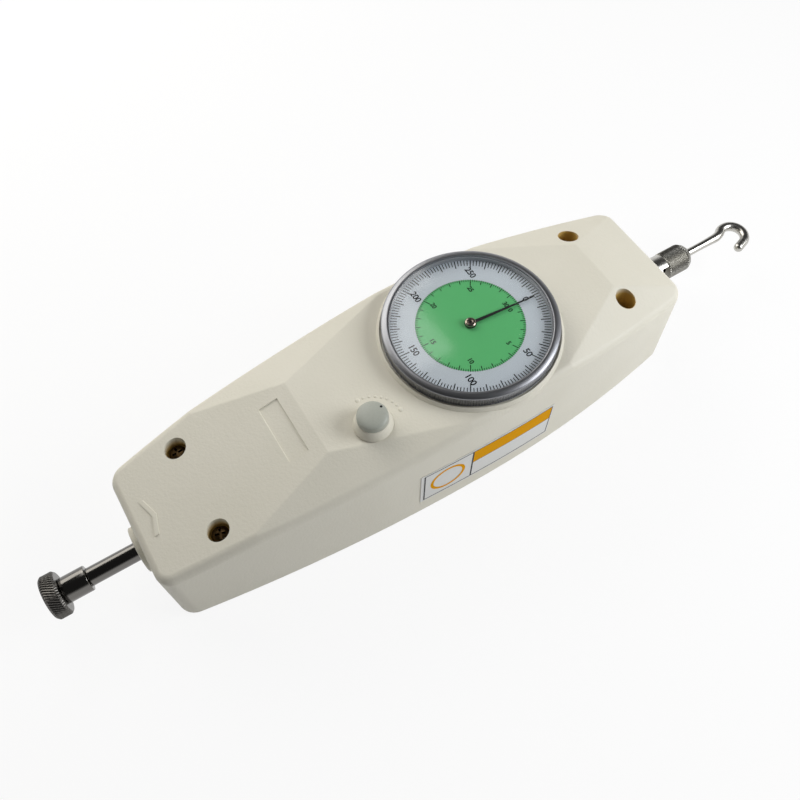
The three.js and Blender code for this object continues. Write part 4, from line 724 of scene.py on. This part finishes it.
bezel_radius, bezel_bore, bezel_low = 28.35, 25.95, 44.3
bezel_teeth, bezel_groove, knurl_low, knurl_high = 210, 0.26, 44.62, 48.03
side = [(bezel_radius, height) for height in (44.45, 44.6, 44.65, 48.0, 48.05, 48.25)]
bezel = lathe([
    (bezel_bore, bezel_low), (28.2, bezel_low), *side, (28.25, 48.42), (27.9, 48.66), (27.4, 48.88),
    (26.8, 49.07), (26.45, 49.13), (26.2, 49.12), (26.0, 49.03), (bezel_bore, 48.9),
], bezel_teeth * 6, closed=True)
bezel = knurled(bezel, knurl_low, knurl_high, bezel_radius, bezel_groove, bezel_teeth)
bezel = finished("bezel_ring", moved(bezel, dial_x), bezel_steel, least=35)
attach(bezel, "dial")
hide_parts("bezel")

# Dial face: a thin aluminium disc, screen-printed in cool grey-white under a green middle and black
# figures. It is pressed on the carrier.
dial_grey, tree, shader = new_finish("printed_grey_white_enamel", "#ccd6de", 0.5)
place = add_node(tree, "ShaderNodeTexCoord", {}).outputs["Object"]
mist = add_node(tree, "ShaderNodeTexNoise", {"Scale": 1 / (12 * MM), "Detail": 2.0}, {"Vector": place})
tones = {"data_type": "RGBA", 6: linear("#c8d2da"), 7: linear("#d2dae1")}
tone = add_node(tree, "ShaderNodeMix", tones, {0: mist.outputs["Fac"]})
tree.links.new(tone.outputs[2], shader.inputs["Base Color"])
face_radius, face_hole, face_low, face_high, thin_edge = 25.85, 1.5, 46.1, 46.8, 0.08
face = lathe([
    (face_hole, face_low), (face_radius, face_low), (face_radius, face_high), (face_hole, face_high),
], 144, closed=True)
face = finished("printed_face", moved(softened(face, thin_edge, 2), dial_x), dial_grey)
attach(face, "dial")
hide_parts("dial_face")

# Green printing ink: an even, matt field with a faint screen grain of 0.3 mm.
green_ink, tree, shader = new_finish("matt_green_print", "#5cc276", 0.55)
place = add_node(tree, "ShaderNodeTexCoord", {}).outputs["Object"]
grain = add_node(tree, "ShaderNodeTexNoise", {"Scale": 1 / (0.3 * MM), "Detail": 1.0}, {"Vector": place})
tones = {"data_type": "RGBA", 6: linear("#58bf72"), 7: linear("#61c77b")}
tone = add_node(tree, "ShaderNodeMix", tones, {0: grain.outputs["Fac"]})
tree.links.new(tone.outputs[2], shader.inputs["Base Color"])
field_radius, field_hole, field_low, field_high = 17.47, 1.55, 46.81, 46.83
field = lathe([
    (field_hole, field_low), (field_radius, field_low), (field_radius, field_high), (field_hole, field_high),
], 144, closed=True)
field = finished("green_field", moved(field, dial_x), green_ink)
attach(field, "dial")

# Black printing ink: figures and scale lines, flat and slightly glossy.
black_ink, tree, shader = new_finish("black_screen_print", "#0d0f12", 0.45)
shader.inputs["Specular IOR Level"].default_value = 0.2
place = add_node(tree, "ShaderNodeTexCoord", {}).outputs["Object"]
grain = add_node(tree, "ShaderNodeTexNoise", {"Scale": 1 / (0.3 * MM), "Detail": 1.0}, {"Vector": place})
gloss = {"To Min": 0.38, "To Max": 0.52}
sheen = add_node(tree, "ShaderNodeMapRange", gloss, {"Value": grain.outputs["Fac"]})
tree.links.new(sheen.outputs["Result"], shader.inputs["Roughness"])

# Each ring has 150 divisions. The fives are longer, and the numbered ones longer still. The inner ring
# is printed over the green.
zero, divisions, ink_thickness = -3.4, 150, 0.02
outer_rim, outer_starts, outer_widths, outer_ink_z = 25.5, (21.9, 22.4, 23.3), (0.32, 0.32, 0.26), 46.83
inner_rim, inner_starts, inner_widths, inner_ink_z = 17.6, (15.1, 15.8, 16.7), (0.28, 0.28, 0.22), 46.85
lines = bmesh.new()


def scale_line(inner, outer, width, degrees, middle_z):
    """One printed line, along the radius at a bearing."""
    made = bmesh.ops.create_cube(lines, size=1)["verts"]
    bmesh.ops.scale(lines, vec=(outer - inner, width, ink_thickness), verts=made)
    bmesh.ops.translate(lines, vec=((inner + outer) / 2, 0, middle_z), verts=made)
    turn = Matrix.Rotation(math.radians(degrees), 3, "Z")
    bmesh.ops.rotate(lines, cent=(0, 0, 0), matrix=turn, verts=made)


for step in range(divisions):
    degrees = zero - 360 / divisions * step
    kind = 0 if step % 25 == 0 else 1 if step % 5 == 0 else 2
    scale_line(outer_starts[kind], outer_rim, outer_widths[kind], degrees, outer_ink_z)
    scale_line(inner_starts[kind], inner_rim, inner_widths[kind], degrees, inner_ink_z)
lines = finished("scale_lines", moved(lines, dial_x), black_ink)
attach(lines, "dial")


def figure(text, size, radius, degrees, low):
    """Printed figures, upright when the hook points up."""
    curve = bpy.data.curves.new("figure", "FONT")
    curve.body = text
    curve.size = size
    curve.align_x = "CENTER"
    curve.align_y = "CENTER"
    curve.extrude = ink_thickness / 2
    curve.offset = 0.06
    curve.resolution_u = 3
    curve.space_character = 0.95
    written = bpy.data.objects.new("figure", curve)
    bpy.context.collection.objects.link(written)
    bpy.context.view_layer.update()
    bm = bmesh.new()
    bm.from_mesh(written.evaluated_get(bpy.context.evaluated_depsgraph_get()).to_mesh())
    bpy.data.objects.remove(written)
    angle = math.radians(degrees)
    moved(turned(bm, -90, "Z"), dial_x + radius * math.cos(angle), radius * math.sin(angle), low)
    mesh = bpy.data.meshes.new("figure")
    bm.to_mesh(mesh)
    bm.free()
    return mesh


# At the zero the inner ring has its end and its start side by side.
outer_size, outer_radius, inner_size, inner_radius = 3.0, 20.4, 2.2, 13.7
figures = bmesh.new()
for step in range(6):
    degrees = zero - 60 * step
    figures.from_mesh(figure(str(50 * step), outer_size, outer_radius, degrees, outer_ink_z))
    if step:
        figures.from_mesh(figure(str(5 * step), inner_size, inner_radius, degrees, inner_ink_z))
end_turn, start_turn, start_radius = 5, -6, 13.9
figures.from_mesh(figure("30", inner_size, inner_radius, zero + end_turn, inner_ink_z))
figures.from_mesh(figure("0", inner_size, start_radius, zero + start_turn, inner_ink_z))
figures = finished("scale_figures", figures, black_ink)
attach(figures, "dial")

# Window spacer: a grey moulded acetal ring between the face and the window, matt and plain.
spacer_grey, tree, shader = new_finish("moulded_grey_acetal", "#999da3", 0.5)
place = add_node(tree, "ShaderNodeTexCoord", {}).outputs["Object"]
grain = add_node(tree, "ShaderNodeTexNoise", {"Scale": 1 / (0.5 * MM), "Detail": 2.0}, {"Vector": place})
relief = {"Strength": 0.15, "Distance": 0.04 * MM}
bump = add_node(tree, "ShaderNodeBump", relief, {"Height": grain.outputs["Fac"]})
tree.links.new(bump.outputs["Normal"], shader.inputs["Normal"])
window_radius, spacer_bore, spacer_low, spacer_high = 25.9, 25.55, 46.85, 48.4
spacer = lathe([
    (spacer_bore, spacer_low), (window_radius, spacer_low), (window_radius, spacer_high),
    (spacer_bore, spacer_high),
], 144, closed=True)
spacer = finished("window_spacer", moved(spacer, dial_x), spacer_grey)
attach(spacer, "dial")
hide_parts("crystal_spacer")

# Window: a clear pressed disc of polished acrylic. Light passes straight through it to the face, and
# a small share is mirrored, so it shows the overhead box softly.
window_clear, tree, shader = new_finish("polished_clear_acrylic", "#f2f4f6", 0.1, 1.0)
shader.inputs["Alpha"].default_value = 0.07
place = add_node(tree, "ShaderNodeTexCoord", {}).outputs["Object"]
wipes = add_node(tree, "ShaderNodeTexNoise", {"Scale": 1 / (6 * MM), "Detail": 2.0}, {"Vector": place})
gloss = {"To Min": 0.1, "To Max": 0.2}
sheen = add_node(tree, "ShaderNodeMapRange", gloss, {"Value": wipes.outputs["Fac"]})
tree.links.new(sheen.outputs["Result"], shader.inputs["Roughness"])
window_low, window_high = 48.45, 48.85
window = softened(post(window_radius, window_low, window_high, 144), thin_edge, 2)
window = finished("dial_window", moved(window, dial_x), window_clear)
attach(window, "dial")
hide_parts("crystal")

# Pointer: a stamped brass needle, painted black, held on its arbor by a small polished cap.
# The paint is even, with a fine grain of 0.4 mm in its gloss.
needle_black, tree, shader = new_finish("black_painted_brass", "#0e1012", 0.4)
place = add_node(tree, "ShaderNodeTexCoord", {}).outputs["Object"]
grain = add_node(tree, "ShaderNodeTexNoise", {"Scale": 1 / (0.4 * MM), "Detail": 2.0}, {"Vector": place})
gloss = {"To Min": 0.32, "To Max": 0.5}
sheen = add_node(tree, "ShaderNodeMapRange", gloss, {"Value": grain.outputs["Fac"]})
tree.links.new(sheen.outputs["Result"], shader.inputs["Roughness"])
needle_length, root_half, tip_half, needle_low, needle_high = 23.3, 0.55, 0.14, 47.2, 47.5
hub_radius, arbor_hole, hole_low, hole_high, rest_turn = 1.9, 0.75, 47, 47.8, -5
blade = [(0, -root_half), (needle_length, -tip_half), (needle_length, tip_half), (0, root_half)]
needle = prism(blade, needle_low, needle_high)
needle = combined(needle, post(hub_radius, needle_low, needle_high, 64), "UNION")
needle = combined(needle, post(arbor_hole, hole_low, hole_high, 32), "DIFFERENCE")
needle = finished("needle", moved(turned(needle, rest_turn, "Z"), dial_x), needle_black)
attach(needle, "pointer")
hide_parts("pointer")

# Nickel-plated brass, polished, with faint darker wear.
cap_steel, tree, shader = new_finish("polished_nickel_brass", "#b5a89c", 0.22, 1.0)
place = add_node(tree, "ShaderNodeTexCoord", {}).outputs["Object"]
wear = add_node(tree, "ShaderNodeTexNoise", {"Scale": 1 / (0.6 * MM), "Detail": 3.0}, {"Vector": place})
tones = {"data_type": "RGBA", 6: linear("#c2b3a6"), 7: linear("#8f8075")}
tone = add_node(tree, "ShaderNodeMix", tones, {0: wear.outputs["Fac"]})
tree.links.new(tone.outputs[2], shader.inputs["Base Color"])
cap_bore, cap_radius, cap_low, cap_high, cap_edge = 0.5, 1.8, 47.6, 48.4, 0.1
cap = lathe([
    (cap_bore, cap_low), (cap_radius, cap_low), (cap_radius, 48.1), (1.3, cap_high), (cap_bore, cap_high),
], 48, closed=True)
cap = finished("needle_cap", moved(softened(cap, cap_edge, 2), dial_x), cap_steel)
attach(cap, "pointer")
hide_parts("pointer_cap")


# Selector knob: a moulded ivory cone that is turned by hand, with a pressed-in grey cap whose dark
# dot shows where it points.
cone_hole, cone_foot, cone_top, cone_low, cone_high, cone_edge = 2.2, 6.3, 5.1, 43.8, 47.0, 0.3
cone = lathe([
    (cone_hole, cone_low), (cone_foot, cone_low), (cone_top, cone_high), (cone_hole, cone_high),
], 72, closed=True)
cone = finished("knob_cone", moved(softened(cone, cone_edge, 3), knob_x, knob_y), ivory_abs)
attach(cone, "selector")
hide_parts("selector_knob")

# Moulded grey ABS: satin, with a fine grain of 0.6 mm. Its dot is a dimple filled with black paint.
knob_grey, tree, shader = new_finish("moulded_grey_abs", "#b9bcb3", 0.42)
place = add_node(tree, "ShaderNodeTexCoord", {}).outputs["Object"]
grain = add_node(tree, "ShaderNodeTexNoise", {"Scale": 1 / (0.6 * MM), "Detail": 3.0}, {"Vector": place})
tones = {"data_type": "RGBA", 6: linear("#a3a69c"), 7: linear("#b0b3a9")}
tone = add_node(tree, "ShaderNodeMix", tones, {0: grain.outputs["Fac"]})
relief = {"Strength": 0.2, "Distance": 0.04 * MM}
bump = add_node(tree, "ShaderNodeBump", relief, {"Height": grain.outputs["Fac"]})
tree.links.new(tone.outputs[2], shader.inputs["Base Color"])
tree.links.new(bump.outputs["Normal"], shader.inputs["Normal"])
top_radius, top_low, dome_low, dome_high, dome_rise = 4.8, 47.1, 49.1, 50.2, 1.1
plug_radius, plug_z = 1.8, 48.55
dome = []
for degrees in (8, 20, 35, 50, 65, 80):
    angle = math.radians(degrees)
    dome.append((top_radius * math.cos(angle), dome_low + dome_rise * math.sin(angle)))
top = lathe([
    (0, plug_z), (plug_radius, plug_z), (plug_radius, top_low), (top_radius, top_low),
    (top_radius, dome_low), *dome, (0, dome_high),
], 72)
dot_x, dot_y, dimple_radius, dimple_low, dimple_high = 3.6, 0.9, 0.45, 49.3, 51
dimple = moved(post(dimple_radius, dimple_low, dimple_high, 24), dot_x, dot_y)
top = combined(top, dimple, "DIFFERENCE")
top = finished("knob_cap", moved(top, knob_x, knob_y), knob_grey, least=40)
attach(top, "selector")
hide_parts("selector_cap")

paint_radius, paint_low, paint_high = 0.42, 49.25, 49.7
dot = post(paint_radius, paint_low, paint_high, 24)
dot = finished("knob_dot", moved(dot, knob_x + dot_x, knob_y + dot_y), needle_black)
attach(dot, "selector")


# Side label: silver-white polyester film with two framed cells, glued to the near wall. One cell has a
# printed ring, the other a coloured band. The film is satin, with a fine printed grain of 0.5 mm.
film_silver, tree, shader = new_finish("satin_polyester_film", "#d9d9d6", 0.4)
place = add_node(tree, "ShaderNodeTexCoord", {}).outputs["Object"]
grain = add_node(tree, "ShaderNodeTexNoise", {"Scale": 1 / (0.5 * MM), "Detail": 2.0}, {"Vector": place})
tones = {"data_type": "RGBA", 6: linear("#d4d4d1"), 7: linear("#dededb")}
tone = add_node(tree, "ShaderNodeMix", tones, {0: grain.outputs["Fac"]})
tree.links.new(tone.outputs[2], shader.inputs["Base Color"])

# Orange printing ink: matt, so that it mirrors next to nothing.
orange_ink, tree, shader = new_finish("orange_film_print", "#e29c06", 0.6)
shader.inputs["Specular IOR Level"].default_value = 0.02
place = add_node(tree, "ShaderNodeTexCoord", {}).outputs["Object"]
grain = add_node(tree, "ShaderNodeTexNoise", {"Scale": 1 / (0.5 * MM), "Detail": 2.0}, {"Vector": place})
tones = {"data_type": "RGBA", 6: linear("#e09a04"), 7: linear("#e8a60c")}
tone = add_node(tree, "ShaderNodeMix", tones, {0: grain.outputs["Fac"]})
tree.links.new(tone.outputs[2], shader.inputs["Base Color"])

label_x, label_z, label_tilt = 12.65, 17.7, -1.8
film_gap, film_thickness, print_rise = 0.05, 0.15, 0.21


def on_wall(bm, rise):
    """A flat form in the XZ plane about the label's centre, laid on the curved near wall."""
    turned(bm, -label_tilt, "Y")
    for vert in bm.verts:
        x = vert.co.x + label_x
        outward = Vector((-side_slope(x), 1)).normalized()
        out = rise + vert.co.y
        vert.co = (x + out * outward.x, -half_width(x) - out * outward.y, vert.co.z + label_z)
    bmesh.ops.recalc_face_normals(bm, faces=bm.faces)
    return bm


def strip(left, right, low, high, rise=print_rise, thick=ink_thickness):
    """A thin rectangle in the label's plane, divided along its length to follow the wall."""
    bm = bmesh.new()
    bmesh.ops.create_grid(bm, x_segments=max(1, round((right - left) / 2)), y_segments=1, size=0.5)
    bmesh.ops.scale(bm, vec=(right - left, high - low, 1), verts=bm.verts)
    bmesh.ops.translate(bm, vec=((right + left) / 2, (high + low) / 2, 0), verts=bm.verts)
    turned(bm, 90, "X")
    raised = bmesh.ops.extrude_face_region(bm, geom=bm.faces[:])["geom"]
    outer = [item for item in raised if isinstance(item, bmesh.types.BMVert)]
    bmesh.ops.translate(bm, vec=(0, thick, 0), verts=outer)
    return on_wall(bm, rise)


label_left, label_right, label_half = -26.3, 25.0, 9.3
film = strip(label_left, label_right, -label_half, label_half, film_gap, film_thickness)
film = finished("label_film", film, film_silver)
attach(film, "housing")
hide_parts("side_label")

frame_left, frame_right, frame_half, divider, band_low = -25.2, 24.5, 8.7, -7.3, 1.2
long_width, left_width, middle_width, right_width, band_width, lap = 0.4, 0.5, 0.6, 0.35, 0.25, 0.3
frames = []
for left, right, width in ((frame_left, divider, left_width), (divider, frame_right, middle_width)):
    frames.append(strip(left, right, frame_half - long_width, frame_half))
    frames.append(strip(left, right, -frame_half, long_width - frame_half))
    frames.append(strip(left, left + width, lap - frame_half, frame_half - lap))
frames.append(strip(frame_right - right_width, frame_right, lap - frame_half, frame_half - lap))
frames.append(strip(divider + middle_width, frame_right - right_width, band_low - band_width, band_low))
frames = finished("label_frames", gathered(frames), black_ink)
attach(frames, "housing")

band_gap = 0.02
band_left, band_right = divider + middle_width + band_gap, frame_right - right_width - band_gap
band = strip(band_left, band_right, band_low, frame_half - lap - band_gap)
band = finished("label_band", band, orange_ink)
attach(band, "housing")

ring_in, ring_out, ring_z = 5.4, 6.5, 0.3
circle = lathe([
    (ring_in, 0), (ring_out, 0), (ring_out, ink_thickness), (ring_in, ink_thickness),
], 72, closed=True)
circle = moved(turned(circle, -90, "X"), (divider + frame_left) / 2, 0, ring_z)
circle = finished("label_ring", on_wall(circle, print_rise), orange_ink)
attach(circle, "housing")


# Works inside: an aluminium chassis with brass bushes and gears, steel springs and screws. The pieces
# keep their solids' shapes. Aluminium shows its milling, brass and steel a faint patchy wear.
aluminium, tree, shader = new_finish("milled_aluminium", "#c4c6c8", 0.38, 1.0)
place = add_node(tree, "ShaderNodeTexCoord", {}).outputs["Object"]
# The wave gives about three milling lines to each 1.6 mm, so they are half a millimetre apart.
mill = add_node(tree, "ShaderNodeTexWave", {"Scale": 1 / (1.6 * MM), "Distortion": 1.5}, {"Vector": place})
relief = {"Strength": 0.1, "Distance": 0.02 * MM}
bump = add_node(tree, "ShaderNodeBump", relief, {"Height": mill.outputs["Fac"]})
tree.links.new(bump.outputs["Normal"], shader.inputs["Normal"])
brass, tree, shader = new_finish("machined_brass", "#c9a24c", 0.28, 1.0)
place = add_node(tree, "ShaderNodeTexCoord", {}).outputs["Object"]
wear = add_node(tree, "ShaderNodeTexNoise", {"Scale": 1 / (1.5 * MM), "Detail": 3.0}, {"Vector": place})
tones = {"data_type": "RGBA", 6: linear("#d0aa55"), 7: linear("#b48c3c")}
tone = add_node(tree, "ShaderNodeMix", tones, {0: wear.outputs["Fac"]})
tree.links.new(tone.outputs[2], shader.inputs["Base Color"])
spring_steel, tree, shader = new_finish("tempered_spring_steel", "#4a4b50", 0.3, 1.0)
place = add_node(tree, "ShaderNodeTexCoord", {}).outputs["Object"]
wear = add_node(tree, "ShaderNodeTexNoise", {"Scale": 1 / (2 * MM), "Detail": 3.0}, {"Vector": place})
tones = {"data_type": "RGBA", 6: linear("#45464c"), 7: linear("#5b5a5c")}
tone = add_node(tree, "ShaderNodeMix", tones, {0: wear.outputs["Fac"]})
tree.links.new(tone.outputs[2], shader.inputs["Base Color"])
finishes = {
    aluminium: ["chassis", "lower_plate", "upper_plate", "dial_carrier"],
    brass: [
        "push_guide_bush", "pull_guide_bush", "arbor_bush", "large_gear", "stand_insert_1", "stand_insert_2",
        "movement_post_1", "movement_post_2", "movement_post_3", "pawl_lever",
    ],
    spring_steel: ["hairspring", "pawl_spring", "carrier_snap_ring", "selector_clip"],
    polished_steel: [
        "spring_seat", "preload_nut", "stop_collar", "rack_block", "gear_arbor", "ratchet_wheel",
        "pointer_arbor", "selector_shaft",
    ],
    screw_bronze: [
        "chassis_screw_1", "chassis_screw_2", "chassis_screw_3", "chassis_screw_4", "rack_set_screw",
        "movement_screw_1", "movement_screw_2", "movement_screw_3", "pawl_pivot_screw",
    ],
}
for finish, names in finishes.items():
    for name in names:
        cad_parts[name].data.materials.clear()
        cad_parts[name].data.materials.append(finish)

# Main spring: coiled spring wire between its seat on the rod and the fixed anchor, kept as one fixed piece on
# the housing.
coil = bmesh.new()
coil.from_mesh(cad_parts["main_spring"].data)
bmesh.ops.remove_doubles(coil, verts=coil.verts, dist=1e-6)
coil_mesh = bpy.data.meshes.new("main_spring_coil")
coil.to_mesh(coil_mesh)
coil.free()
coil_mesh.materials.append(spring_steel)
coil = bpy.data.objects.new("main_spring_coil", coil_mesh)
bpy.context.collection.objects.link(coil)
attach(coil, "housing")
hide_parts("main_spring")
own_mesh(coil)


# Studio: a white table under three soft boxes. One lights the near wall from the pull end, one the
# facets from the far side, and one overhead also shows in the window.
table_half = 2000
table = bmesh.new()
bmesh.ops.create_grid(table, x_segments=1, y_segments=1, size=table_half)
# Matt white card. Seen directly or in a mirror it glows almost white, so that only a soft shadow shows.
table_white, tree, shader = new_finish("matt_white_table", "#f4f4f4", 0.9)
glow = add_node(tree, "ShaderNodeEmission", {"Color": (1, 1, 1, 1), "Strength": 1.0})
paths = add_node(tree, "ShaderNodeLightPath", {})
rays = {0: paths.outputs["Is Camera Ray"], 1: paths.outputs["Is Glossy Ray"]}
seen = add_node(tree, "ShaderNodeMath", {"operation": "MAXIMUM"}, rays)
rays = {0: seen.outputs[0], 1: paths.outputs["Is Transmission Ray"]}
seen = add_node(tree, "ShaderNodeMath", {"operation": "MAXIMUM"}, rays)
share = add_node(tree, "ShaderNodeMath", {"operation": "MULTIPLY", 1: 0.88}, {0: seen.outputs[0]})
mixed = {0: share.outputs[0], 1: shader.outputs[0], 2: glow.outputs[0]}
blend = add_node(tree, "ShaderNodeMixShader", {}, mixed)
tree.links.new(blend.outputs[0], tree.nodes["Material Output"].inputs["Surface"])
table = finished("table_top", table, table_white)

# To the camera the room is plain white. As a light it is dim, and a mirror finds it bright only near
# the horizon.
world = bpy.data.worlds.new("studio")
bpy.context.scene.world = world
world.use_nodes = True
tree = world.node_tree
background = tree.nodes["Background"]
paths = add_node(tree, "ShaderNodeLightPath", {})
rays = {0: paths.outputs["Is Camera Ray"], 1: paths.outputs["Is Transmission Ray"]}
seen = add_node(tree, "ShaderNodeMath", {"operation": "MAXIMUM"}, rays)
ray = add_node(tree, "ShaderNodeTexCoord", {})
parts = add_node(tree, "ShaderNodeSeparateXYZ", {}, {0: ray.outputs["Generated"]})
sweep = {"From Min": 0.05, "From Max": 0.4, "To Min": 1.0, "To Max": 0.04}
backdrop = add_node(tree, "ShaderNodeMapRange", sweep, {"Value": parts.outputs[2]})
mirrored = {0: paths.outputs["Is Glossy Ray"], 3: backdrop.outputs["Result"]}
ambient = add_node(tree, "ShaderNodeMix", {"data_type": "FLOAT", 2: 0.19}, mirrored)
white = {0: seen.outputs[0], 2: ambient.outputs[0]}
strength = add_node(tree, "ShaderNodeMix", {"data_type": "FLOAT", 3: 1.0}, white)
background.inputs["Color"].default_value = (1, 1, 1, 1)
tree.links.new(strength.outputs[0], background.inputs["Strength"])

soft_boxes = [
    ("pull_end_box", -35, 32, 0.25, 0.25, 1.42, "#fafcff"),
    ("far_side_box", 103, 29, 0.5, 0.25, 1.1, "#fffcf5"),
    ("overhead_box", 94, 53, 0.2, 0.3, 0.37, "#fffdfa"),
]
middle, distance = Vector((0.01, 0, 0.03)), 0.45
for name, azimuth, elevation, width, height, power, code in soft_boxes:
    lamp = bpy.data.lights.new(name, "AREA")
    lamp.shape = "RECTANGLE"
    lamp.size = width
    lamp.size_y = height
    lamp.energy = power
    lamp.color = linear(code)[:3]
    level, lift = math.radians(azimuth), math.radians(elevation)
    aim = Vector((math.cos(level) * math.cos(lift), math.sin(level) * math.cos(lift), math.sin(lift)))
    facing = (-aim).to_track_quat("-Z", "Y").to_matrix().to_4x4()
    holder = bpy.data.objects.new(name, lamp)
    bpy.context.collection.objects.link(holder)
    holder.matrix_world = Matrix.Translation(middle + distance * aim) @ facing

# The camera stands where the photograph was taken from.
lens = bpy.data.cameras.new("camera")
lens.lens = 37.45
lens.sensor_width = 36
lens.clip_start = 0.01
camera = bpy.data.objects.new("camera", lens)
eye = (-0.0691, -0.11918, 0.26484)
right = Vector((0.8551, -0.5181, -0.0225))
down = Vector((-0.4611, -0.7397, -0.4901))
forward = Vector((0.2372, 0.4294, -0.8714))
facing = Matrix((right, -down, -forward)).transposed().to_4x4()
camera.matrix_world = Matrix.Translation(eye) @ facing
bpy.context.collection.objects.link(camera)
bpy.context.scene.camera = camera
bpy.context.scene.view_settings.view_transform = "Standard"
